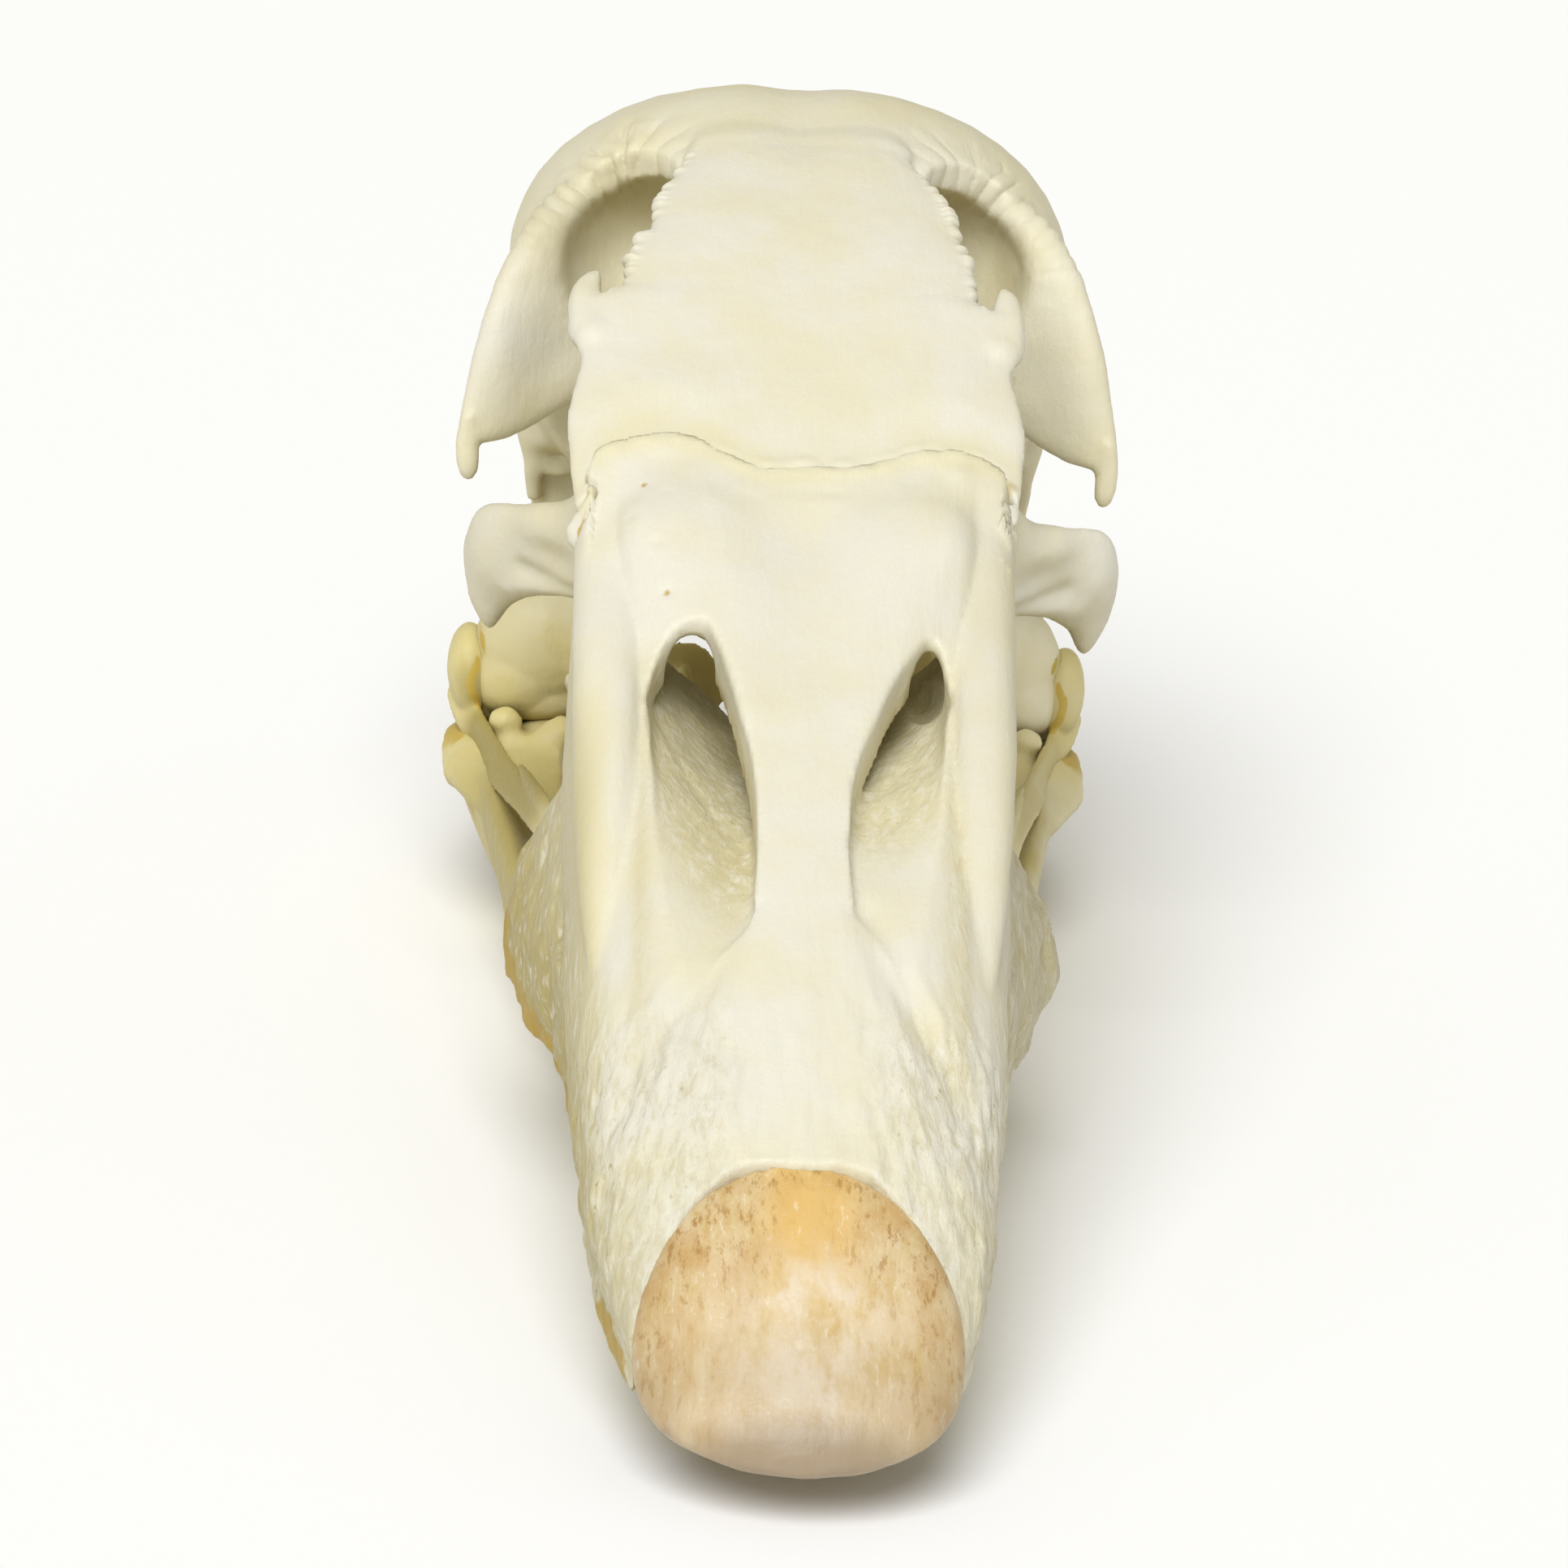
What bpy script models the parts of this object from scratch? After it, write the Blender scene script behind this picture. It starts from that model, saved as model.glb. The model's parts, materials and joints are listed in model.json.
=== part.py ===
"""Skull of a goose with its lower jaw, life size, resting on the lower jaw.

Each bone is drawn in the skull's own axes, in millimetres: the origin is the middle of the
hinge line between bill and forehead, +Y runs back, +Z up and +X to the skull's left. The
empty "skull_axes" then tips the skull so that the lower jaw lies level, stands it on z = 0
and centres it.
"""
import math

import bmesh
import bpy
import numpy as np
from mathutils import Matrix, Vector

MM = 0.001

# Driving sizes of the skull, in millimetres.
BILL_LENGTH = 61.3            # hinge line to the tip of the nail
CRANIUM_LENGTH = 54.5         # hinge line to the back of the head
BREADTH = 40.6                # over the two postorbital tips
HINGE_WIDTH = 25.4            # across the hinge line
NAIL_WIDTH = 17.2
NAIL_TOP = 45.4               # hinge line to the back edge of the nail
JAW_BREADTH = 39.8            # over the lower jaw at its joint
SEAT_GAP = 0.34               # clearance between neighbouring bones
REST_ANGLE = math.radians(4.2)
REST_HEIGHT = 39.55           # hinge line to the level that the jaw rests on

# How finely each bone is made.
VOXEL = 0.42
FINE_VOXEL = 0.33             # for the thin bones
SMOOTH_ROUNDS = 3
RING_SIDES = 28
PATH_STEPS = 5
TRIANGLES = {"cranium": 4600, "upper_bill": 3200, "nail": 500, "mandible": 2300, "vomer": 240,
             "lacrimal": 420, "quadrate": 640, "jugal": 380, "pterygoid": 220, "palatine": 380}

# Heights of the top outline at the middle, from the nail to the back of the head.
TOP_OUTLINE = (
    (-BILL_LENGTH, -31.5), (-45.5, -21.9), (-34.0, -15.8), (-24.0, -11.0), (-12.0, -5.6), (-6.0, -3.0),
    (0.0, -0.4), (6.0, 2.6), (13.7, 6.0), (20.0, 8.2), (29.0, 10.3), (37.0, 10.9), (45.0, 8.7),
    (50.0, 4.4), (53.0, -2.0), (CRANIUM_LENGTH, -8.0),
)
BONE = (0.87, 0.84, 0.74, 1.0)
DEEP_BONE = (0.80, 0.76, 0.62, 1.0)
HORN = (0.80, 0.62, 0.38, 1.0)


def clear_scene():
    for thing in list(bpy.data.objects):
        bpy.data.objects.remove(thing, do_unlink=True)


def new_collection(name):
    collection = bpy.data.collections.new(name)
    bpy.context.scene.collection.children.link(collection)
    return collection


def between(rows, steps):
    """A smooth run of rows through the given rows of numbers."""
    rows = np.array(rows, dtype=float)
    ends = np.vstack([2 * rows[0] - rows[1], rows, 2 * rows[-1] - rows[-2]])
    run = []
    for index in range(1, len(ends) - 2):
        before, near, far, after = ends[index - 1:index + 3]
        for step in range(steps):
            t = step / steps
            run.append(0.5 * (2 * near + (far - before) * t
                              + (2 * before - 5 * near + 4 * far - after) * t ** 2
                              + (3 * near - before - 3 * far + after) * t ** 3))
    run.append(rows[-1])
    return np.array(run)


SMOOTH_TOP = between(TOP_OUTLINE, 8)


def top(y):
    """Height of the skull's top at the middle."""
    return float(np.interp(y, SMOOTH_TOP[:, 0], SMOOTH_TOP[:, 1]))


def rounded(angle, power):
    """A point of a rounded square of half side 1; power 2 is a circle."""
    across, up = math.cos(angle), math.sin(angle)
    return (math.copysign(abs(across) ** (2 / power), across),
            math.copysign(abs(up) ** (2 / power), up))


def skin(name, rings):
    """One closed solid over a row of rings with the same number of points."""
    cage = bmesh.new()
    loops = [[cage.verts.new(point) for point in ring] for ring in rings]
    for near, far in zip(loops, loops[1:]):
        for index, corner in enumerate(near):
            following = (index + 1) % len(near)
            cage.faces.new((corner, near[following], far[following], far[index]))
    cage.faces.new(loops[0])
    cage.faces.new(loops[-1])
    bmesh.ops.triangulate(cage, faces=cage.faces)
    bmesh.ops.recalc_face_normals(cage, faces=cage.faces)
    mesh = bpy.data.meshes.new(name)
    cage.to_mesh(mesh)
    cage.free()
    return bpy.data.objects.new(name, mesh)


def loft(name, stations, x=0.0, steps=PATH_STEPS):
    """A solid along Y. Each station is (y, height of the middle, half width, up, down, power)."""
    rings = []
    for y, middle, width, up, down, power in between(stations, steps):
        ring = []
        for side in range(RING_SIDES):
            across, rise = rounded(2 * math.pi * side / RING_SIDES, power)
            ring.append((x + width * across, y, middle + rise * (up if rise > 0 else down)))
        rings.append(ring)
    return skin(name, rings)


def sweep(name, stations, facing, power=2.3, steps=PATH_STEPS, sides=16):
    """A bar or plate along a path. Each station is (x, y, z, half width, half thickness);
    facing is the way that the flat side looks."""
    rows = between(stations, steps)
    tangents = np.gradient(rows[:, :3], axis=0)
    rings = []
    for row, tangent in zip(rows, tangents):
        along = Vector(tangent).normalized()
        out = Vector(facing)
        out = (out - along * out.dot(along)).normalized()
        broad = along.cross(out)
        ring = []
        for side in range(sides):
            across, rise = rounded(2 * math.pi * side / sides, power)
            ring.append(Vector(row[:3]) + broad * across * row[3] + out * rise * row[4])
        rings.append(ring)
    return skin(name, rings)


def plate(name, rungs, power=2.4, steps=PATH_STEPS, sides=20):
    """A plate between two edges. Each rung is (first edge x, y, z, second edge x, y, z,
    half thickness)."""
    rows = between(rungs, steps)
    middles = (rows[:, :3] + rows[:, 3:6]) / 2
    tangents = np.gradient(middles, axis=0)
    rings = []
    for row, middle, tangent in zip(rows, middles, tangents):
        broad = Vector((row[3:6] - row[:3]) / 2)
        out = Vector(tangent).cross(broad).normalized()
        ring = []
        for side in range(sides):
            across, rise = rounded(2 * math.pi * side / sides, power)
            ring.append(Vector(middle) + broad * across + out * rise * row[6])
        rings.append(ring)
    return skin(name, rings)


def ball(name, centre, radii, turn=(0.0, 0.0, 0.0)):
    """An ellipsoid."""
    cage = bmesh.new()
    bmesh.ops.create_uvsphere(cage, u_segments=28, v_segments=18, radius=1.0)
    place = Matrix.Translation(centre)
    for axis, angle in zip("XYZ", turn):
        place = place @ Matrix.Rotation(math.radians(angle), 4, axis)
    place = place @ Matrix.Diagonal((*radii, 1.0))
    bmesh.ops.transform(cage, matrix=place, verts=cage.verts)
    mesh = bpy.data.meshes.new(name)
    cage.to_mesh(mesh)
    cage.free()
    return bpy.data.objects.new(name, mesh)


def slab(name, outline, low, high):
    """A flat plate with an outline in the XY plane, from one height to another."""
    return skin(name, [[(x, y, z) for x, y in outline] for z in (low, high)])


def other_side(piece):
    """The same piece on the skull's other side."""
    mesh = piece.data.copy()
    mesh.transform(Matrix.Scale(-1.0, 4, (1.0, 0.0, 0.0)))
    mesh.flip_normals()
    return bpy.data.objects.new(piece.name + "_mirrored", mesh)


def pair(*pieces):
    """Each piece and its mirror image."""
    return [copy for piece in pieces for copy in (piece, other_side(piece))]


def settle(thing):
    """Make the modifiers' result the mesh itself."""
    bpy.context.view_layer.update()
    depsgraph = bpy.context.evaluated_depsgraph_get()
    mesh = bpy.data.meshes.new_from_object(thing.evaluated_get(depsgraph))
    thing.modifiers.clear()
    thing.data = mesh


def largest_surface(thing):
    """Keep only the largest closed surface of a mesh."""
    cage = bmesh.new()
    cage.from_mesh(thing.data)
    waiting = set(cage.verts)
    best = []
    while waiting:
        group = [waiting.pop()]
        for vert in group:
            for edge in vert.link_edges:
                other = edge.other_vert(vert)
                if other in waiting:
                    waiting.remove(other)
                    group.append(other)
        if len(group) > len(best):
            best = group
    keep = set(best)
    bmesh.ops.delete(cage, geom=[vert for vert in cage.verts if vert not in keep], context="VERTS")
    cage.to_mesh(thing.data)
    cage.free()


def join(name, pieces):
    """One solid from overlapping pieces."""
    base, *others = pieces
    bpy.context.scene.collection.objects.link(base)
    if others:
        group = new_collection(name + "_pieces")
        for piece in others:
            group.objects.link(piece)
        union = base.modifiers.new("Join", "BOOLEAN")
        union.operation = "UNION"
        union.operand_type = "COLLECTION"
        union.collection = group
        union.solver = "EXACT"
        settle(base)
        for piece in others:
            bpy.data.objects.remove(piece, do_unlink=True)
        bpy.data.collections.remove(group)
    base.name = name
    return base


def cut(thing, cutters):
    """Take cutters away from a solid and drop them."""
    for cutter in cutters:
        bpy.context.scene.collection.objects.link(cutter)
        carve = thing.modifiers.new("Cut", "BOOLEAN")
        carve.operation = "DIFFERENCE"
        carve.object = cutter
        carve.solver = "EXACT"
        settle(thing)
        bpy.data.objects.remove(cutter, do_unlink=True)


def even(thing, voxel=VOXEL, rounds=SMOOTH_ROUNDS):
    """Remesh a solid evenly and soften its seams. A thin bone takes a finer voxel."""
    remesh = thing.modifiers.new("Even", "REMESH")
    remesh.mode = "VOXEL"
    remesh.voxel_size = voxel
    soften = thing.modifiers.new("Soften", "SMOOTH")
    soften.factor = 0.5
    soften.iterations = rounds
    settle(thing)


def room(thing, gap=SEAT_GAP):
    """A copy of a solid grown by the clearance, to cut its neighbour's seat."""
    grown = bpy.data.objects.new(thing.name + "_room", thing.data.copy())
    bpy.context.scene.collection.objects.link(grown)
    swell = grown.modifiers.new("Grow", "DISPLACE")
    swell.mid_level = 0.0
    swell.strength = gap
    settle(grown)
    even(grown, rounds=0)
    bpy.context.scene.collection.objects.unlink(grown)
    return grown


def thin_out(thing, triangles):
    """Fewer, larger triangles where the surface is plain."""
    reduce = thing.modifiers.new("Reduce", "DECIMATE")
    reduce.ratio = min(1.0, triangles / (2.0 * len(thing.data.polygons)))
    reduce.use_collapse_triangulate = True
    settle(thing)
    largest_surface(thing)


def material(name, colour, roughness):
    paint = bpy.data.materials.new(name)
    paint.use_nodes = True
    shader = paint.node_tree.nodes["Principled BSDF"]
    shader.inputs["Base Color"].default_value = colour
    shader.inputs["Roughness"].default_value = roughness
    shader.inputs["Metallic"].default_value = 0.0
    return paint


def orbit_room(side):
    """The hollow that the eye sockets make in the front of the braincase."""
    stations = []
    for y, width, ceiling in ((8.0, 15.0, 6.0), (17.0, 15.0, 7.5), (23.0, 14.4, 8.5), (26.6, 12.6, 8.5),
                              (29.2, 9.6, 7.6), (30.8, 5.0, 5.0)):
        floor = -9.0 - 0.62 * width
        middle = (ceiling + floor) / 2
        stations.append((y, middle, width, ceiling - middle, middle - floor, 2.4))
    return loft("orbit", stations, x=side * 16.2)


def orbit_mouth(side):
    """The socket's opening upward, beside the forehead."""
    rim = between(((6.6, 12.0), (6.9, 26.0), (7.6, 29.4), (10.0, 31.8), (13.0, 32.4), (15.6, 31.0),
                   (18.5, 27.0), (24.0, 20.0), (24.0, 12.0)), 4)
    return slab("orbit_mouth", [(side * x, y) for x, y in rim], -2.0, 16.0)


def cranium():
    """Braincase, forehead, wall between the eyes and postorbital wings, in one bone."""
    case_stations = (
        (24.0, -4.0, 7.0, 9.0, 8.0, 2.2), (27.5, -3.0, 13.0, 12.4, 11.0, 2.2),
        (32.0, -2.4, 16.5, 12.9, 14.0, 2.25), (38.0, -2.2, 17.5, 13.0, 15.6, 2.25),
        (44.0, -2.8, 16.9, 11.9, 15.8, 2.25), (48.5, -4.2, 14.6, 10.3, 14.4, 2.3),
        (52.0, -6.0, 10.4, 6.9, 11.0, 2.2), (CRANIUM_LENGTH, -8.0, 4.6, 2.4, 5.2, 2.0),
    )
    case = loft("braincase", case_stations)
    bpy.context.scene.collection.objects.link(case)
    cut(case, [orbit_room(1), orbit_room(-1), orbit_mouth(1), orbit_mouth(-1)])
    bpy.context.scene.collection.objects.unlink(case)
    roof_half_widths = (
        (-2.5, 12.6), (0.0, 13.0), (2.0, 13.8), (5.0, 13.3), (8.5, 12.5), (11.5, 13.5), (13.0, 12.6),
        (14.4, 11.0), (17.0, 10.3), (20.0, 9.2), (24.5, 7.6), (28.6, 7.2), (34.0, 7.0),
    )
    above, below = 1.25, 1.7
    roof_stations = [(y, top(y) - above, width, above, below, 2.6) for y, width in roof_half_widths]
    roof = loft("forehead", roof_stations)
    keel_stations = []
    floor = -18.6
    for y in (3.0, 8.0, 15.0, 22.0, 30.0):
        ceiling = top(y) - 1.0
        middle = (ceiling + floor) / 2
        keel_stations.append((y, middle, 1.15, ceiling - middle, middle - floor, 3.2))
    wall = loft("interorbital_wall", keel_stations)
    rostrum = sweep("rostrum", ((0, 40, -17.0, 5.5, 1.8), (0, 33, -18.2, 3.2, 1.8), (0, 22, -19.0, 2.0, 1.7),
                                (0, 10, -19.2, 1.5, 1.4), (0, 0.5, -18.6, 1.1, 1.1)), (0, 0, 1))
    front_wall = loft("ethmoid", ((1.0, -5.0, 8.6, 4.0, 4.0, 2.4), (3.5, -5.2, 9.8, 6.0, 7.0, 2.6),
                                  (6.5, -5.0, 7.8, 7.6, 9.5, 2.4), (9.5, -5.0, 3.0, 8.0, 11.0, 2.2)))
    tip = BREADTH / 2
    wing = plate("postorbital", (
        (9.5, 31.0, -6.0, tip - 6.6, 33.4, 6.4, 2.2), (13.0, 28.8, -6.8, tip - 3.3, 31.2, 2.7, 1.6),
        (16.0, 27.4, -7.9, tip - 1.9, 28.8, -1.7, 1.1), (18.2, 25.9, -8.9, tip - 0.6, 26.6, -5.9, 0.9),
        (19.6, 24.4, -10.3, tip, 24.6, -8.8, 0.75), (20.0, 23.6, -11.4, tip, 23.7, -10.5, 0.5)))
    brow = ball("brow_swelling", (12.0, 11.2, 3.1), (1.9, 2.4, 1.5))
    hook = sweep("supraorbital_hook", ((12.6, 11.5, 3.4, 1.1, 1.0), (12.9, 14.0, 4.5, 0.95, 0.85),
                                       (12.2, 16.4, 5.2, 0.5, 0.5)), (0, -0.4, 1))
    ear_flange = sweep("ear_flange", ((14.4, 44.0, -6.0, 3.0, 1.4), (14.4, 45.6, -11.5, 3.2, 1.3),
                                      (13.8, 46.4, -16.0, 2.0, 1.1), (12.6, 46.6, -18.8, 0.8, 0.8)),
                       (0.5, 1.0, 0.0))
    cheek = sweep("squamosal_spur", ((15.2, 37.0, -8.0, 2.6, 1.8), (15.6, 34.5, -11.5, 1.7, 1.3),
                                     (15.8, 33.0, -13.6, 0.8, 0.8)), (1.0, 0.0, 0.0))
    facet = ball("basipterygoid_facet", (2.6, 20.5, -20.3), (1.6, 2.6, 1.1))
    condyle = ball("occipital_condyle", (0, 52.4, -14.8), (1.9, 2.0, 1.6))
    skull = join("cranium", [case, roof, wall, rostrum, front_wall, condyle]
                 + pair(wing, brow, hook, ear_flange, cheek, facet))
    canal = ball("foramen_magnum", (0, 53.4, -10.2), (3.5, 3.4, 3.1))
    windows = pair(ball("occipital_window", (5.0, 53.6, -3.2), (1.5, 2.2, 2.2)))
    ears = pair(ball("ear_opening", (17.0, 42.2, -11.2), (3.4, 3.2, 3.0)),
                ball("temporal_hollow", (20.4, 38.0, -4.6), (4.2, 6.0, 5.2)))
    cut(skull, [canal, hinge_block(0.5 * SEAT_GAP, front=True)] + windows + ears)
    even(skull)
    return skull


def hinge_block(offset, front):
    """Everything before, or behind, the curved hinge line."""
    half = HINGE_WIDTH / 2
    line = between(((-2.2 * half, -1.2), (-half, -0.6), (-0.7 * half, 2.4), (-0.3 * half, 0.9), (0.0, 0.1),
                    (0.3 * half, 0.9), (0.7 * half, 2.4), (half, -0.6), (2.2 * half, -1.2)), 4)
    far = -40.0 if front else 40.0
    shift = offset if front else -offset
    outline = [(x, y + shift) for x, y in line]
    outline += [(2.2 * half, far), (-2.2 * half, far)]
    return slab("hinge_block", outline, low=-17.0, high=12.0)


def bill_rim(y):
    """Half width and height of the bill's lower rim."""
    rim = ((-58.0, 6.4, -31.9), (-54.0, 8.6, -31.8), (-48.0, 10.0, -31.2), (-40.0, 10.8, -30.5),
           (-30.0, 11.6, -29.6), (-24.0, 12.2, -28.9), (-19.0, 12.9, -28.2), (-14.0, 14.6, -27.6),
           (-10.0, 15.7, -27.1), (-6.0, 15.3, -26.6))
    rows = np.array(rim)
    return float(np.interp(y, rows[:, 0], rows[:, 1])), float(np.interp(y, rows[:, 0], rows[:, 2]))


def upper_bill():
    """The bony bill, open under the nostrils behind and cupped below."""
    shell_stations = []
    for y, width, power, rise in (
            (3.0, 12.8, 4.6, 0.0), (0.0, 12.9, 4.6, 0.3), (-6.0, 13.0, 3.6, 0.8), (-14.0, 12.9, 2.7, 0.2),
            (-24.0, 12.6, 2.6, 0.0), (-34.0, 12.1, 2.5, 0.0), (-42.0, 11.3, 2.4, 0.0),
            (-48.0, 10.3, 2.3, 0.0), (-53.0, 8.9, 2.3, 0.0), (-57.0, 6.4, 2.2, 0.0), (-59.3, 3.2, 2.0, 0.0)):
        ceiling = top(y) + rise
        floor = bill_rim(y)[1]
        middle = 0.45 * ceiling + 0.55 * floor
        shell_stations.append((y, middle, width, ceiling - middle, middle - floor, power))
    shell = loft("bill_shell", shell_stations[::-1])
    rim_stations = []
    for y in (-55.0, -48.0, -40.0, -30.0, -22.0, -16.0, -12.0, -8.0):
        width, height = bill_rim(y)
        rim_stations.append((width - 1.0, y, height + 1.6, 1.7, 1.15))
    rim = sweep("rim", rim_stations, (1.0, 0.0, 0.25))
    lobe = plate("rim_lobe", (
        (11.8, -6.0, -16.0, 11.8, -17.0, -19.5, 1.0), (12.9, -5.0, -19.6, 12.6, -19.0, -22.0, 1.1),
        (14.6, -5.4, -23.0, 12.9, -20.5, -25.0, 1.1), (15.1, -6.4, -26.0, 12.5, -20.5, -27.6, 1.0)))
    side_bar = sweep("side_bar", ((10.9, 4.0, -0.2, 2.0, 1.5), (10.9, -1.0, -2.3, 2.0, 1.6),
                                  (11.0, -6.0, -5.0, 1.9, 1.7), (10.9, -12.0, -8.0, 1.9, 1.7),
                                  (10.7, -20.0, -12.0, 1.9, 1.7), (10.2, -28.0, -17.0, 1.6, 1.2),
                                  (9.6, -35.0, -21.6, 0.9, 0.7)), (0, 0.4, 1))
    bill = join("upper_bill", [shell] + pair(rim, lobe, side_bar))
    cavity_stations = []
    for y, width, bar in ((5.0, 10.6, 2.4), (0.0, 10.4, 2.4), (-8.0, 9.2, 2.6), (-16.0, 8.4, 3.0),
                          (-26.0, 8.2, 3.2), (-31.0, 7.6, 3.6), (-34.0, 5.6, 3.6)):
        ceiling = top(y) - bar
        floor = min(nasal_floor(y), ceiling - 0.8)
        middle = (ceiling + floor) / 2
        cavity_stations.append((y, middle, width, ceiling - middle, middle - floor, 3.6))
    cavity = loft("nasal_cavity", cavity_stations[::-1])
    shelf_edge = ((0.0, -8.6), (4.0, -5.0), (7.6, 0.4), (10.4, 3.4), (10.4, 12.0))
    outline = [(x, y) for x, y in shelf_edge] + [(-x, y) for x, y in shelf_edge[:0:-1]]
    throat = slab("throat", outline, -45.0, -10.0)
    palate_stations = []
    for y, lift in ((-53.0, 2.0), (-48.0, 5.0), (-38.0, 6.5), (-26.0, 7.0), (-14.0, 7.4), (-4.0, 7.6)):
        width, height = bill_rim(y)
        palate_stations.append((y, height - 2.0, width - 2.2, lift, 6.0, 2.4))
    palate = loft("palate_hollow", palate_stations)
    valley = ball("base_valley", (0.0, -7.0, 0.3), (4.4, 8.0, 3.9), (24, 0, 0))
    cutters = [cavity, palate, throat, valley]
    nostril_edges = ((-8.4, 7.0, 8.0), (-12.0, 5.0, 8.3), (-16.4, 3.6, 8.4), (-21.0, 2.7, 8.4),
                     (-26.0, 2.5, 8.4), (-30.0, 2.9, 8.2), (-33.5, 3.8, 7.9), (-36.0, 5.2, 7.2))
    stations = []
    for y, inner, outer in nostril_edges:
        floor = nasal_floor(y)
        stations.append((y, floor + 7.5, (outer - inner) / 2, 12.0, 7.5, 3.0, (outer + inner) / 2))
    for side in (1, -1):
        cutters.append(nostril(stations, side))
    cutters.append(hinge_block(0.5 * SEAT_GAP, front=False))
    cutters.append(slanted_back())
    cut(bill, cutters)
    return bill


def nostril(stations, side):
    """A long opening between the ridge of the bill and its side bar."""
    rings = []
    for y, middle, width, up, down, power, centre in between(stations, PATH_STEPS):
        ring = []
        for corner in range(RING_SIDES):
            across, rise = rounded(2 * math.pi * corner / RING_SIDES, power)
            ring.append((side * (centre + width * across), y, middle + rise * (up if rise > 0 else down)))
        rings.append(ring)
    return skin("nostril", rings)


def nasal_floor(y):
    """Height of the floor under the nostrils."""
    return -14.0 + 0.092 * (y + 3.0)


def slanted_back():
    """What lies behind the bill's slanting back edge."""
    outline = ((-0.6, -4.4), (30.0, -4.4), (30.0, -60.0), (-5.6, -60.0), (-5.0, -24.6))
    return skin("bill_back", [[(x, y, z) for y, z in outline] for x in (-25.0, 25.0)])


def nail_body(grow):
    """The horny nail as a raised dome, grown by a clearance."""
    half = NAIL_WIDTH / 2
    stations = (
        (-NAIL_TOP + grow, -23.0, 2.6 + grow, 0.9 + grow, 1.0 + grow, 2.0),
        (-47.5, -24.6, 0.70 * half + grow, 1.8 + grow, 1.6 + grow, 2.1),
        (-51.0, -27.0, 0.95 * half + grow, 2.6 + grow, 2.4 + grow, 2.2),
        (-54.5, -29.4, half + grow, 3.3 + grow, 3.0 + grow, 2.2),
        (-58.0, -30.6, 0.86 * half + grow, 2.7 + grow, 2.0 + grow, 2.2),
        (-60.3, -31.1, 0.55 * half + grow, 1.6 + grow, 1.3 + grow, 2.1),
        (-BILL_LENGTH - grow, -31.4, 0.18 * half + grow, 0.6 + grow, 0.5 + grow, 2.0),
    )
    return loft("nail", stations)


def lacrimal():
    """The plate that flares from the front of the eye socket."""
    return join("lacrimal", [plate("lacrimal_plate", (
        (9.0, 2.6, -1.8, 9.4, 3.4, -9.0, 1.6), (11.6, 3.8, -2.4, 11.6, 4.4, -10.4, 1.4),
        (13.4, 5.2, -4.8, 13.4, 6.0, -11.0, 1.2),
        (15.4, 7.0, -6.0, 15.2, 7.6, -11.8, 0.9), (17.0, 8.4, -6.5, 16.5, 9.0, -12.8, 0.8),
        (18.3, 9.6, -7.2, 17.5, 10.0, -14.6, 0.75), (19.0, 10.4, -9.0, 18.6, 10.6, -13.0, 0.5)))])


def quadrate():
    """The bone that carries the lower jaw."""
    body = ball("quadrate_body", (15.3, 35.6, -25.4), (4.4, 3.5, 4.6))
    process = sweep("otic_process", ((15.0, 36.0, -23.0, 2.6, 2.2), (13.9, 38.0, -18.5, 1.8, 1.7),
                                     (12.9, 39.6, -15.0, 2.0, 1.6), (12.6, 40.4, -11.6, 1.9, 1.6)),
                    (0, -1, 0))
    blade = sweep("orbital_process", ((13.6, 34.0, -23.4, 3.2, 1.5), (10.6, 31.8, -22.2, 2.4, 0.8),
                                      (8.2, 29.6, -20.4, 1.5, 0.6)), (0.6, -1.0, 0))
    joint = sweep("condyles", ((11.8, 34.8, -28.2, 1.6, 1.4), (15.2, 35.0, -28.6, 2.0, 1.6),
                               (18.6, 35.4, -28.0, 1.6, 1.3)), (0, 0, 1))
    return join("quadrate", [body, process, blade, joint])


def jugal():
    """The thin bar from the bill's lobe to the quadrate."""
    return join("jugal", [sweep("jugal_bar", (
        (19.2, 37.4, -25.4, 1.2, 0.7), (19.5, 35.0, -26.6, 1.9, 0.8), (18.9, 31.6, -28.4, 1.5, 0.75),
        (17.5, 27.0, -29.2, 1.15, 0.7), (15.4, 20.5, -29.2, 1.1, 0.65), (13.5, 13.0, -28.6, 1.1, 0.65),
        (12.6, 5.0, -27.4, 1.1, 0.65), (12.4, -4.0, -25.8, 1.2, 0.7), (12.3, -9.0, -24.8, 1.2, 0.7)),
        (1.0, 0.0, 0.1))])


def pterygoid():
    return join("pterygoid", [sweep("pterygoid_rod", (
        (11.8, 33.6, -27.0, 1.3, 1.1), (8.2, 28.6, -25.2, 1.0, 1.0), (4.8, 23.6, -23.2, 1.4, 1.2),
        (3.2, 21.0, -22.6, 1.1, 0.9)), (0, 0, 1))])


def palatine():
    return join("palatine", [sweep("palatine_blade", (
        (3.6, 20.4, -22.6, 0.9, 0.9), (5.0, 18.0, -22.1, 2.2, 0.7), (6.2, 13.0, -21.7, 3.0, 0.6),
        (6.8, 6.0, -22.0, 2.7, 0.6), (7.0, 0.0, -22.0, 1.8, 0.6), (7.2, -5.0, -21.0, 1.3, 0.7),
        (7.2, -9.6, -20.2, 1.1, 0.7)), (1.0, 0.0, 0.25))])


def vomer():
    return join("vomer", [sweep("vomer_blade", (
        (0, 18.0, -22.0, 1.2, 0.7), (0, 10.0, -22.2, 1.9, 0.6), (0, 0.0, -21.6, 1.6, 0.55),
        (0, -6.0, -19.4, 1.2, 0.5), (0, -11.0, -17.6, 1.2, 0.5)), (1.0, 0.0, 0.0))])


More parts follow.
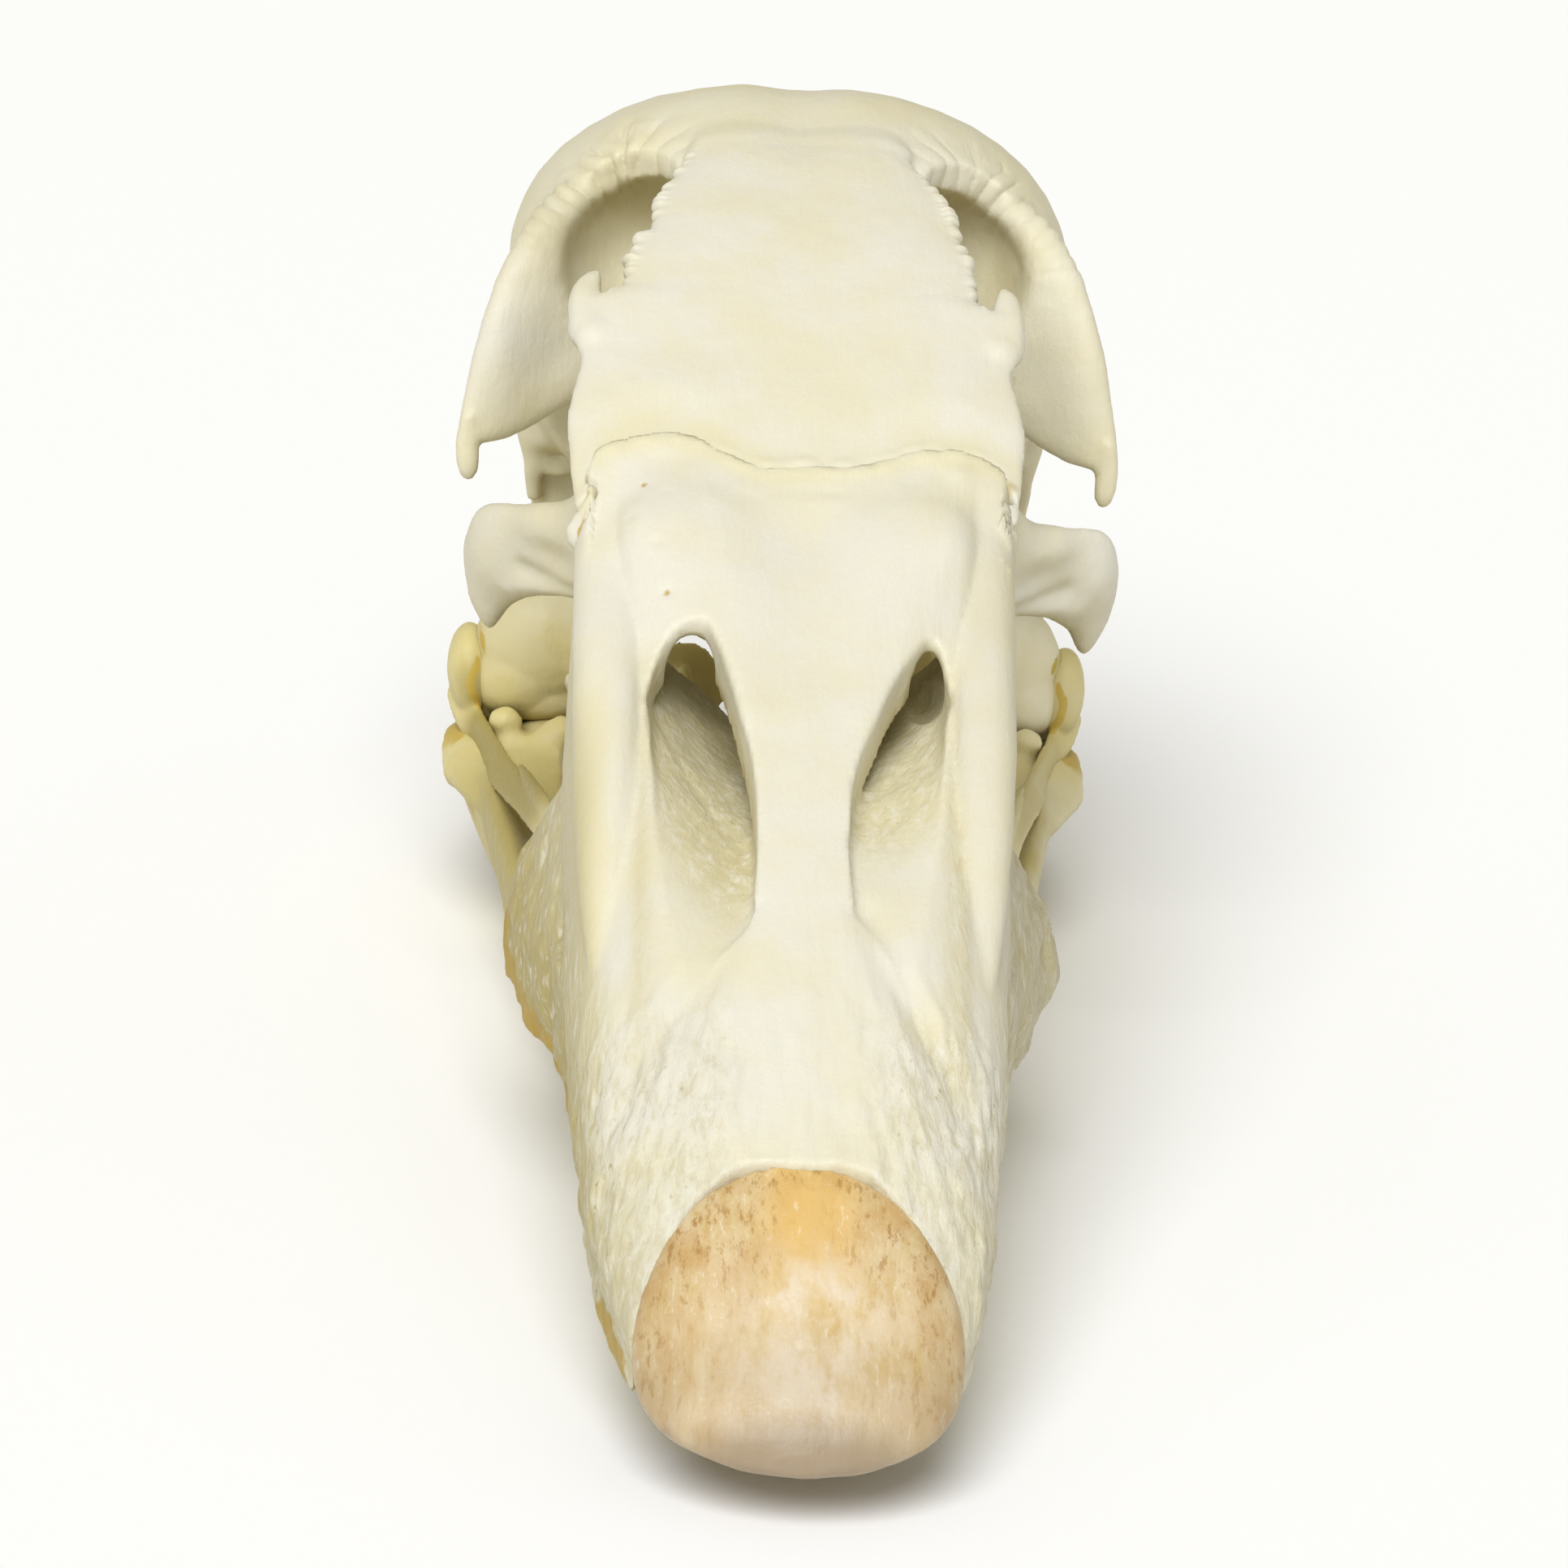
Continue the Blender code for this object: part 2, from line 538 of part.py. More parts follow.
def mandible():
    """The lower jaw, both branches and their joined tip."""
    half = JAW_BREADTH / 2
    path = (
        (half - 4.4, 58.6, -25.4, 0.6, 0.5), (half - 4.6, 56.8, -28.0, 1.6, 0.8),
        (half - 4.6, 52.6, -31.8, 2.5, 1.0), (half - 3.8, 46.4, -34.4, 3.2, 1.3),
        (half - 2.6, 40.0, -35.4, 3.8, 1.8), (half - 3.0, 34.0, -35.8, 4.9, 1.6),
        (half - 4.1, 28.0, -36.0, 5.7, 1.35), (half - 5.2, 19.0, -35.8, 5.5, 1.3),
        (half - 6.6, 8.0, -35.2, 4.9, 1.25), (half - 8.0, -2.0, -34.5, 4.4, 1.2),
        (10.2, -12.0, -33.9, 4.0, 1.15), (9.3, -26.0, -33.6, 3.5, 1.15), (8.2, -38.0, -33.8, 2.9, 1.2),
        (6.2, -46.0, -34.0, 2.4, 1.4), (3.4, -50.0, -34.2, 1.9, 1.5), (0.0, -51.0, -34.2, 1.7, 1.5),
        (-1.6, -50.8, -34.2, 1.7, 1.4),
    )
    branch = sweep("jaw_branch", path, (1.0, 0.0, -0.32), sides=18)
    tip = loft("symphysis", ((-52.2, -34.6, 1.8, 1.2, 1.2, 2.2), (-49.5, -34.8, 4.6, 1.0, 1.5, 2.4),
                             (-45.0, -35.2, 6.4, 0.8, 1.5, 2.4), (-42.0, -35.6, 4.4, 0.6, 1.0, 2.2)))
    shelf = sweep("inner_process", ((16.4, 37.6, -33.0, 2.6, 1.6), (12.8, 38.0, -31.8, 1.9, 1.2),
                                    (9.8, 38.8, -29.6, 0.9, 0.8)), (0, 0, 1))
    cup = plate("joint_cup", ((12.4, 24.0, -32.4, 12.6, 39.0, -32.0, 2.0),
                              (15.6, 23.0, -32.4, 15.6, 40.0, -32.4, 2.3),
                              (18.6, 27.0, -31.6, 18.6, 39.0, -31.8, 1.6)))
    pads = pair(ball("back_pad", (half - 5.4, 30.0, -39.8), (1.7, 5.0, 2.4)))
    jaw = join("mandible", [tip] + pair(branch, shelf, cup) + pads)
    return jaw


def floor_block():
    """What lies below the level that the jaw rests on."""
    slope = math.tan(REST_ANGLE)
    level = -REST_HEIGHT / math.cos(REST_ANGLE)
    rings = []
    for x in (-30.0, 30.0):
        rings.append([(x, y, height) for y, height in (
            (-80.0, level + 80.0 * slope), (80.0, level - 80.0 * slope), (80.0, -70.0), (-80.0, -70.0))])
    return skin("floor", rings)


def finish(thing, name, paint, collection, axes):
    """Bring a bone to metres and hang it on the skull's axes."""
    thing.data.transform(Matrix.Scale(MM, 4))
    thing.name = name
    thing.data.name = name
    thing.data.materials.clear()
    thing.data.materials.append(paint)
    thing.data.shade_smooth()
    for home in list(thing.users_collection):
        home.objects.unlink(thing)
    collection.objects.link(thing)
    thing.parent = axes


def main():
    clear_scene()
    collection = new_collection("goose_skull")
    bone = material("bone", BONE, roughness=0.55)
    deep_bone = material("deep_bone", DEEP_BONE, roughness=0.6)
    horn = material("horn", HORN, roughness=0.4)

    axes = bpy.data.objects.new("skull_axes", None)
    collection.objects.link(axes)

    head = cranium()
    bill = upper_bill()
    horn_tip = join("nail", [nail_body(0.0)])
    cut(bill, [nail_body(SEAT_GAP)])
    even(bill)
    even(horn_tip)

    jaw = mandible()
    lacrimal_bone, quadrate_bone, jugal_bone = lacrimal(), quadrate(), jugal()
    pterygoid_bone, palatine_bone, vomer_bone = pterygoid(), palatine(), vomer()

    cut(quadrate_bone, [room(head)])
    even(quadrate_bone)
    cut(jaw, pair(room(quadrate_bone)))
    even(jaw)
    cut(lacrimal_bone, [room(head), room(bill)])
    cut(jugal_bone, [room(quadrate_bone), room(bill)])
    cut(pterygoid_bone, [room(quadrate_bone), room(head)])
    for thin_bone in (lacrimal_bone, jugal_bone, pterygoid_bone):
        even(thin_bone, voxel=FINE_VOXEL, rounds=2)
    cut(palatine_bone, [room(pterygoid_bone), room(head), room(bill)])
    cut(vomer_bone, [room(head), room(bill)])
    for thin_bone in (palatine_bone, vomer_bone):
        even(thin_bone, voxel=FINE_VOXEL, rounds=2)

    for thing, paint in ((lacrimal_bone, bone), (quadrate_bone, deep_bone), (jugal_bone, bone),
                         (pterygoid_bone, deep_bone), (palatine_bone, deep_bone)):
        name = thing.name
        thin_out(thing, TRIANGLES[name])
        finish(mirror_copy(thing), name + "_right", paint, collection, axes)
        finish(thing, name + "_left", paint, collection, axes)
    for thing, paint in ((head, bone), (bill, bone), (horn_tip, horn), (vomer_bone, deep_bone),
                         (jaw, deep_bone)):
        thin_out(thing, TRIANGLES[thing.name])
        if thing is jaw:
            cut(jaw, [floor_block()])
        finish(thing, thing.name, paint, collection, axes)
    stand(axes)


def stand(axes):
    """Tip the skull so that its jaw lies level, on z = 0 and over the middle of its outline."""
    tip = Matrix.Rotation(REST_ANGLE, 4, "X")
    corners = [tip @ vert.co for bone in axes.children for vert in bone.data.vertices]
    middle = [0.5 * (min(corner[axis] for corner in corners) + max(corner[axis] for corner in corners))
              for axis in (0, 1)]
    lowest = min(corner.z for corner in corners)
    axes.matrix_world = Matrix.Translation((-middle[0], -middle[1], -lowest)) @ tip


def mirror_copy(thing):
    """The finished bone of the other side."""
    copy = other_side(thing)
    bpy.context.scene.collection.objects.link(copy)
    return copy


main()
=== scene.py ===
"""Goose skull with its lower jaw: fine bones, horny nail, pale floor, soft studio light and camera.

The bones are modelled in the skull's own axes, in millimetres: the origin is the middle of the
hinge line between bill and forehead, +Y runs back, +Z up and +X to the skull's left. Each one is
then set in the frame, where the skull lies tipped on its lower jaw.
"""
import itertools
import json
import math

import bmesh
import bpy
import numpy as np
from mathutils import Matrix, Vector
from mathutils.bvhtree import BVHTree
from mathutils.kdtree import KDTree


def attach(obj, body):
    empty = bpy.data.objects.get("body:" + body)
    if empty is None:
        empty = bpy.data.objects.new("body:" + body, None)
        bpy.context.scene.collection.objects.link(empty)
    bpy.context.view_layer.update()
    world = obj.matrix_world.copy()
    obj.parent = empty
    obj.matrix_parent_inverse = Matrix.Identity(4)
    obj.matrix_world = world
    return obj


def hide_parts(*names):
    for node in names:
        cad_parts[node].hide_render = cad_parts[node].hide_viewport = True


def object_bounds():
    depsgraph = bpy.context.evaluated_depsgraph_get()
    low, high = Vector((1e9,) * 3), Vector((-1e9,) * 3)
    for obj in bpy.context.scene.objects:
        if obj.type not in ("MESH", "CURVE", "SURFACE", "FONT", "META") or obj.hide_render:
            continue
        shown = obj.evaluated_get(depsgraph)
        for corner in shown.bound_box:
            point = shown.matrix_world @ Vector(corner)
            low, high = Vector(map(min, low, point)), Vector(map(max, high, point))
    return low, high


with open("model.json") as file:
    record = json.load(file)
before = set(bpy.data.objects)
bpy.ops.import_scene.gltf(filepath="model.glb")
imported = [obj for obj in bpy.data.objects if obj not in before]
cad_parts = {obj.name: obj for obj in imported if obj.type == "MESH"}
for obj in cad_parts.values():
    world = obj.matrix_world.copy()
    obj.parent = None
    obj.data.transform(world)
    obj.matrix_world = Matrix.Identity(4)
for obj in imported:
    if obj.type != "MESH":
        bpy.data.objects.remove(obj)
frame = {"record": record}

FRAME_BOX = [list(corner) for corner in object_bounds()]

MM = 0.001

# Driving sizes of the skull, in millimetres.
BILL_LENGTH = 61.3            # hinge line to the tip of the nail
CRANIUM_LENGTH = 54.5         # hinge line to the back of the head
BREADTH = 40.6                # over the two postorbital tips
NAIL_WIDTH = 17.2
NAIL_TOP = 45.4               # hinge line to the back edge of the nail
JAW_BREADTH = 39.8            # over the lower jaw at its joint
REST_ANGLE = math.radians(4.2)       # how far the skull tips forward as it rests on its jaw
HINGE_PLACE = (0.0, -0.914, 39.55)   # the hinge line's middle, in the frame

# How finely the bones are made.
VOXEL = 0.25
FINE_VOXEL = 0.20
RING_SIDES = 40
PATH_STEPS = 8

SIDES = (1, -1)               # the skull's left and right

# The camera, measured from the skull's own axes.
CAMERA_TURN = math.radians(-2.565)
CAMERA_RISE = math.radians(22.707)
CAMERA_ROLL = math.radians(3.432)
CAMERA_DISTANCE = 415.0
CAMERA_AIM = (-0.118, -0.01, -19.438)
CAMERA_LENS = 164.29

# Heights of the top outline at the middle, from the nail to the back of the head.
TOP_OUTLINE = (
    (-BILL_LENGTH, -31.5), (-45.5, -21.9), (-34.0, -15.8), (-24.0, -11.0), (-12.0, -5.6), (-6.0, -3.0),
    (0.0, -0.4), (6.0, 2.6), (13.7, 6.0), (20.0, 8.2), (29.0, 10.3), (37.0, 10.9), (45.0, 8.7),
    (50.0, 4.4), (53.0, -2.0), (CRANIUM_LENGTH, -8.0),
)

# The hinge between forehead and bill, seen from above.
HINGE_LINE = (
    (-28.0, -1.2), (-12.9, -1.2), (-12.5, 0.2), (-12.1, 1.2), (-11.1, 1.9), (-8.8, 2.4), (-6.5, 2.3),
    (-4.5, 1.2), (-2.3, 0.3), (0.0, 0.5), (2.4, 0.5), (4.6, 1.1), (6.6, 1.9), (9.8, 2.2), (11.9, 1.5),
    (12.9, 0.4), (13.3, -1.2), (28.0, -1.2))
HINGE_LAP = 0.35              # forehead and bill overlap here, so that no gap shows

to_frame = (Matrix.Translation(Vector(HINGE_PLACE) * MM) @ Matrix.Rotation(REST_ANGLE, 4, "X")
            @ Matrix.Scale(MM, 4))


def at(place, places, values):
    """A value between the ones given at rising places, and held past the ends."""
    return float(np.interp(place, places, values))


def between(rows, steps):
    """A smooth run of rows through the given rows of numbers."""
    rows = np.array(rows, dtype=float)
    ends = np.vstack([2 * rows[0] - rows[1], rows, 2 * rows[-1] - rows[-2]])
    run = []
    for index in range(1, len(ends) - 2):
        before, near, far, after = ends[index - 1:index + 3]
        for step in range(steps):
            t = step / steps
            run.append(0.5 * (2 * near + (far - before) * t
                              + (2 * before - 5 * near + 4 * far - after) * t ** 2
                              + (3 * near - before - 3 * far + after) * t ** 3))
    run.append(rows[-1])
    return np.array(run)


SMOOTH_TOP = between(TOP_OUTLINE, 8)
SMOOTH_HINGE = between(HINGE_LINE, 6)


def top(y):
    """Height of the skull's top at the middle."""
    return at(y, SMOOTH_TOP[:, 0], SMOOTH_TOP[:, 1])


def held(value, low=0.0, high=1.0):
    """A number kept between two others."""
    return min(max(value, low), high)


def flipped(side, path):
    """A path of the skull's left side as it is, or on the right where side is -1."""
    return [(side * x, y, z) for x, y, z in path]


def rounded(sides, power):
    """The corners of a rounded square of half side 1; power 2 is a circle."""
    corners = []
    for side in range(sides):
        angle = 2 * math.pi * side / sides
        across, up = math.cos(angle), math.sin(angle)
        corners.append((math.copysign(abs(across) ** (2 / power), across),
                        math.copysign(abs(up) ** (2 / power), up)))
    return corners


def solid(name, cage):
    """A new object with what was built in the cage."""
    mesh = bpy.data.meshes.new(name)
    cage.to_mesh(mesh)
    cage.free()
    return bpy.data.objects.new(name, mesh)


def skin(name, rings):
    """One closed solid over a row of rings with the same number of points."""
    cage = bmesh.new()
    loops = [[cage.verts.new(point) for point in ring] for ring in rings]
    for near, far in zip(loops, loops[1:]):
        for index, corner in enumerate(near):
            following = (index + 1) % len(near)
            cage.faces.new((corner, near[following], far[following], far[index]))
    cage.faces.new(loops[0])
    cage.faces.new(loops[-1])
    bmesh.ops.triangulate(cage, faces=cage.faces)
    bmesh.ops.recalc_face_normals(cage, faces=cage.faces)
    return solid(name, cage)


def loft(name, stations, x=0.0):
    """A solid along Y. Each station is (y, height of the middle, half width, up, down, power)."""
    rings = []
    for y, middle, width, up, down, power in between(stations, PATH_STEPS):
        rings.append([(x + width * across, y, middle + rise * (up if rise > 0 else down))
                      for across, rise in rounded(RING_SIDES, power)])
    return skin(name, rings)


def sweep(name, stations, facing, power=2.3, sides=24):
    """A bar or plate along a path. Each station is (x, y, z, half width, half thickness);
    facing is the way that the flat side looks."""
    rows = between(stations, PATH_STEPS)
    tangents = np.gradient(rows[:, :3], axis=0)
    rings = []
    for row, tangent in zip(rows, tangents):
        along = Vector(tangent).normalized()
        out = Vector(facing)
        out = (out - along * out.dot(along)).normalized()
        broad = along.cross(out)
        rings.append([Vector(row[:3]) + broad * across * row[3] + out * rise * row[4]
                      for across, rise in rounded(sides, power)])
    return skin(name, rings)


def plate(name, rungs, power=2.4, sides=28):
    """A plate between two edges. Each rung is (first edge x, y, z, second edge x, y, z,
    half thickness)."""
    rows = between(rungs, PATH_STEPS)
    middles = (rows[:, :3] + rows[:, 3:6]) / 2
    tangents = np.gradient(middles, axis=0)
    rings = []
    for row, middle, tangent in zip(rows, middles, tangents):
        broad = Vector((row[3:6] - row[:3]) / 2)
        out = Vector(tangent).cross(broad).normalized()
        rings.append([Vector(middle) + broad * across + out * rise * row[6]
                      for across, rise in rounded(sides, power)])
    return skin(name, rings)


def ball(name, centre, radii, turn=(0.0, 0.0, 0.0)):
    """An ellipsoid."""
    cage = bmesh.new()
    bmesh.ops.create_uvsphere(cage, u_segments=36, v_segments=24, radius=1.0)
    place = Matrix.Translation(centre)
    for axis, angle in zip("XYZ", turn):
        place = place @ Matrix.Rotation(math.radians(angle), 4, axis)
    place = place @ Matrix.Diagonal((*radii, 1.0))
    bmesh.ops.transform(cage, matrix=place, verts=cage.verts)
    return solid(name, cage)


def slab(name, outline, low, high):
    """A flat plate with an outline in the XY plane, from one height to another."""
    return skin(name, [[(x, y, z) for x, y in outline] for z in (low, high)])


def other_side(piece):
    """The same piece on the skull's other side."""
    mesh = piece.data.copy()
    mesh.transform(Matrix.Scale(-1.0, 4, (1.0, 0.0, 0.0)))
    mesh.flip_normals()
    return bpy.data.objects.new(piece.name + "_mirrored", mesh)


def pair(*pieces):
    """Each piece and its mirror image."""
    return [copy for piece in pieces for copy in (piece, other_side(piece))]


def settle(thing):
    """Make the modifiers' result the mesh itself."""
    bpy.context.view_layer.update()
    depsgraph = bpy.context.evaluated_depsgraph_get()
    mesh = bpy.data.meshes.new_from_object(thing.evaluated_get(depsgraph))
    thing.modifiers.clear()
    thing.data = mesh


def largest_surface(thing):
    """Keep only the largest closed surface of a mesh."""
    cage = bmesh.new()
    cage.from_mesh(thing.data)
    waiting = set(cage.verts)
    best = []
    while waiting:
        group = [waiting.pop()]
        for vert in group:
            for edge in vert.link_edges:
                other = edge.other_vert(vert)
                if other in waiting:
                    waiting.remove(other)
                    group.append(other)
        if len(group) > len(best):
            best = group
    keep = set(best)
    bmesh.ops.delete(cage, geom=[vert for vert in cage.verts if vert not in keep], context="VERTS")
    cage.to_mesh(thing.data)
    cage.free()


def join(name, pieces):
    """One solid from overlapping pieces."""
    base, *others = pieces
    bpy.context.scene.collection.objects.link(base)
    if others:
        group = bpy.data.collections.new(name + "_pieces")
        bpy.context.scene.collection.children.link(group)
        for piece in others:
            group.objects.link(piece)
        union = base.modifiers.new("Join", "BOOLEAN")
        union.operation = "UNION"
        union.operand_type = "COLLECTION"
        union.collection = group
        union.solver = "EXACT"
        settle(base)
        for piece in others:
            bpy.data.objects.remove(piece, do_unlink=True)
        bpy.data.collections.remove(group)
    base.name = name
    return base


def cut(thing, cutters):
    """Take cutters away from a solid and drop them."""
    for cutter in cutters:
        bpy.context.scene.collection.objects.link(cutter)
        carve = thing.modifiers.new("Cut", "BOOLEAN")
        carve.operation = "DIFFERENCE"
        carve.object = cutter
        carve.solver = "EXACT"
        settle(thing)
        bpy.data.objects.remove(cutter, do_unlink=True)


def even(thing, voxel=FINE_VOXEL, rounds=4):
    """Remesh a solid evenly, soften its seams and give it back."""
    remesh = thing.modifiers.new("Even", "REMESH")
    remesh.mode = "VOXEL"
    remesh.voxel_size = voxel
    smooth = thing.modifiers.new("Smooth", "SMOOTH")
    smooth.factor = 0.5
    smooth.iterations = rounds
    settle(thing)
    largest_surface(thing)
    return thing


NOISE_STEPS = np.array((73856093, 19349663, 83492791))
NOISE_SEED_STEP = 2654435761
NOISE_MIX = 1274126177
NOISE_LAST = 0xFFFF


def noise(points, size, seed):
    """Smooth noise from -1 to 1. size is the spacing, one number or one for each axis."""
    spots = points / np.array(size, dtype=float)
    cell = np.floor(spots).astype(np.int64)
    part = spots - cell
    fade = part * part * (3.0 - 2.0 * part)
    total = np.zeros(len(points))
    for corner in itertools.product((0, 1), repeat=3):
        key = (cell + corner) @ NOISE_STEPS + seed * NOISE_SEED_STEP
        key = (key ^ (key >> 13)) * NOISE_MIX
        key = (key ^ (key >> 16)) & NOISE_LAST
        weight = np.prod(np.where(corner, fade, 1.0 - fade), axis=1)
        total += weight * (key / (NOISE_LAST / 2) - 1.0)
    return total


def rough(points, *layers):
    """Noises laid over each other. Each layer is (height, size, seed)."""
    return sum(height * noise(points, size, seed) for height, size, seed in layers)


def step_up(values, low, high):
    """0 below low, 1 above high and smooth between."""
    t = np.clip((values - low) / (high - low), 0.0, 1.0)
    return t * t * (3.0 - 2.0 * t)


def beside(points, path, reach):
    """Distance from a path and length along it, for every point nearer than reach."""
    path = np.array(path, dtype=float)
    gaps = np.full(len(points), np.inf)
    lengths = np.zeros(len(points))
    near = np.flatnonzero(np.all((points > path.min(0) - reach) & (points < path.max(0) + reach), axis=1))
    spots = points[near]
    best = np.full(len(near), np.inf)
    where = np.zeros(len(near))
    travelled = 0.0
    for start, end in zip(path, path[1:]):
        leg = end - start
        length = np.linalg.norm(leg)
        t = np.clip((spots - start) @ leg / length ** 2, 0.0, 1.0)
        gap = np.linalg.norm(spots - start - t[:, None] * leg, axis=1)
        closer = gap < best
        best[closer] = gap[closer]
        where[closer] = travelled + t[closer] * length
        travelled += length
    gaps[near] = best
    lengths[near] = where
    return gaps, lengths


def swelling(points, centre, radii, height):
    """A soft swelling, or a hollow where the height is negative."""
    away = (points - np.array(centre)) / np.array(radii)
    return height * np.exp(-(away ** 2).sum(axis=1))


def ridge(points, path, width, height, steps=6):
    """A rounded ridge along a path, or a groove where the height is negative."""
    gaps, _ = beside(points, between(path, steps), 3.0 * width)
    return height * np.exp(-(gaps / width) ** 2)


def relief(points, swellings=(), ridges=()):
    """Swellings and ridges on both sides of the skull. Each swelling is (centre, radii, height) and
    each ridge is (path, width, height)."""
    push = np.zeros(len(points))
    for side in SIDES:
        for centre, radii, height in swellings:
            push += swelling(points, flipped(side, [centre])[0], radii, height)
        for path, width, height in ridges:
            push += ridge(points, flipped(side, path), width, height)
    return push


def dimples(points, centres, radius, depth):
    """Small round hollows."""
    push = np.zeros(len(points))
    for centre in centres:
        gap = np.linalg.norm(points - centre, axis=1)
        push -= depth * np.exp(-(gap / radius) ** 2)
    return push


def averaging(thing):
    """A function that takes a value of each vertex and gives the mean of its neighbours' values."""
    edges = np.empty(len(thing.data.edges) * 2, dtype=np.int32)
    thing.data.edges.foreach_get("vertices", edges)
    one, two = edges.reshape(-1, 2).T
    count = len(thing.data.vertices)
    links = np.maximum(np.bincount(edges, minlength=count), 1)
    return lambda values: (np.bincount(one, values[two], count)
                           + np.bincount(two, values[one], count)) / links


def soften(thing, where, rounds):
    """Smooth the mesh where the weights are above zero."""
    points = vertex_points(thing)
    weights = where(points)[:, None]
    mean = averaging(thing)
    for _ in range(rounds):
        points += 0.6 * weights * (np.column_stack([mean(column) for column in points.T]) - points)
    move(thing, points)


def refine(thing, where):
    """Split the faces in a region, so that it can take finer work."""
    cage = bmesh.new()
    cage.from_mesh(thing.data)
    chosen = where(vertex_points(thing))
    cage.verts.ensure_lookup_table()
    edges = [edge for edge in cage.edges if chosen[edge.verts[0].index] and chosen[edge.verts[1].index]]
    bmesh.ops.subdivide_edges(cage, edges=edges, cuts=1, use_grid_fill=True)
    cage.to_mesh(thing.data)
    cage.free()


def near_path(path, reach):
    """A test for points that lie near a path."""
    return lambda points: beside(points, path, reach)[0] < reach


def sculpt(thing, stroke):
    """Move every vertex along its normal by what the stroke gives, in millimetres."""
    points = vertex_points(thing)
    normals = vertex_normals(thing)
    points += normals * stroke(points, normals)[:, None]
    move(thing, points)


def paint(thing, name, values):
    """Store one number for each vertex, for the materials."""
    layer = thing.data.attributes.new(name, "FLOAT", "POINT")
    layer.data.foreach_set("value", values.astype(np.float32))


def move(thing, points):
    """Put the vertices in new places."""
    thing.data.vertices.foreach_set("co", points.ravel())
    thing.data.update()


def vertex_points(thing):
    """The vertices as an array."""
    points = np.empty(len(thing.data.vertices) * 3)
    thing.data.vertices.foreach_get("co", points)
    return points.reshape(-1, 3)


def vertex_normals(thing):
    """The vertex normals as an array."""
    normals = np.empty(len(thing.data.vertices) * 3, dtype=np.float32)
    thing.data.vertex_normals.foreach_get("vector", normals)
    return normals.reshape(-1, 3).astype(float)


# The rear rim of the eye socket, along the middle of its lumps.
SOCKET_RIM = ((7.2, 28.6, 9.2), (8.6, 31.4, 8.4), (10.8, 32.7, 8.2), (12.8, 32.2, 7.0), (14.4, 31.2, 5.6),
              (15.8, 30.2, 3.8), (16.4, 29.2, 2.2))

# Along the forehead's edge over each socket, where the faces are made finer.
SOCKET_MARGIN = ((11.6, 17.0, 5.4), (11.2, 14.4, 4.9), (9.7, 19.0, 6.6), (8.5, 24.0, 7.9), (6.8, 28.8, 9.0))


def orbit_room(side):
    """The hollow that the eye sockets make in the front of the braincase."""
    stations = []
    for y, width, ceiling in ((8.0, 15.0, 6.0), (17.0, 15.0, 7.5), (23.0, 14.4, 8.5), (26.6, 12.6, 8.5),
                              (29.2, 9.6, 7.6), (30.8, 5.0, 5.0)):
        floor = -9.0 - 0.62 * width
        middle = (ceiling + floor) / 2
        stations.append((y, middle, width, ceiling - middle, middle - floor, 2.4))
    return loft("orbit", stations, x=side * 16.2)


def orbit_mouth(side):
    """The socket's opening upward, beside the forehead."""
    rim = between(((6.6, 12.0), (6.8, 25.0), (7.4, 28.6), (9.0, 31.2), (11.4, 32.3), (13.8, 31.6),
                   (15.6, 30.0), (18.0, 27.0), (24.0, 20.0), (24.0, 12.0)), 5)
    return slab("orbit_mouth", [(side * x, y) for x, y in rim], -2.0, 16.0)


def hinge_block(lap, front):
    """Everything before, or behind, the curved hinge line, less a lap."""
    shift = -lap if front else lap
    outline = [(x, y + shift) for x, y in SMOOTH_HINGE]
    far = -40.0 if front else 40.0
    outline += [(28.0, far), (-28.0, far)]
    return slab("hinge_block", outline, low=-17.0, high=12.0)


def braincase():
    """The rounded case of the brain, hollowed in front by the two sockets."""
    case = loft("braincase", (
        (24.0, -4.0, 7.0, 9.0, 8.0, 2.2), (27.5, -3.0, 13.0, 12.4, 11.0, 2.2),
        (32.0, -2.4, 16.5, 12.9, 14.0, 2.25), (38.0, -2.2, 17.5, 13.0, 15.6, 2.25),
        (44.0, -2.8, 16.9, 11.9, 15.8, 2.25), (48.5, -4.2, 14.6, 10.3, 14.4, 2.3),
        (52.0, -6.0, 10.4, 6.9, 11.0, 2.2), (CRANIUM_LENGTH, -8.0, 4.6, 2.4, 5.2, 2.0)))
    bpy.context.scene.collection.objects.link(case)
    cut(case, [hollow(side) for hollow in (orbit_room, orbit_mouth) for side in SIDES])
    bpy.context.scene.collection.objects.unlink(case)
    return case


def forehead():
    """The roof from the hinge line to the braincase, narrow between the sockets. Each edge is
    (y, half width, how far it sinks into the braincase)."""
    above, below = 1.25, 1.7
    edges = (
        (-2.5, 12.9, 0.0), (0.8, 13.3, 0.0), (4.4, 13.6, 0.0), (6.8, 13.3, 0.0), (9.2, 12.9, 0.0),
        (10.5, 13.3, 0.0), (11.9, 13.75, 0.0), (13.2, 13.6, 0.0), (13.9, 12.3, 0.0), (14.4, 11.2, 0.0),
        (15.2, 10.75, 0.0), (17.2, 10.25, 0.0), (19.0, 9.65, 0.0), (21.3, 9.05, 0.0), (24.0, 8.5, 0.0),
        (25.4, 7.95, 0.0), (27.0, 7.4, 0.0), (28.8, 6.8, 0.0), (31.0, 6.6, 0.1), (36.0, 6.2, 0.9),
        (41.0, 5.0, 2.4))
    return loft("forehead", [(y, top(y) - above - sink, width, above, below, 2.6)
                             for y, width, sink in edges])


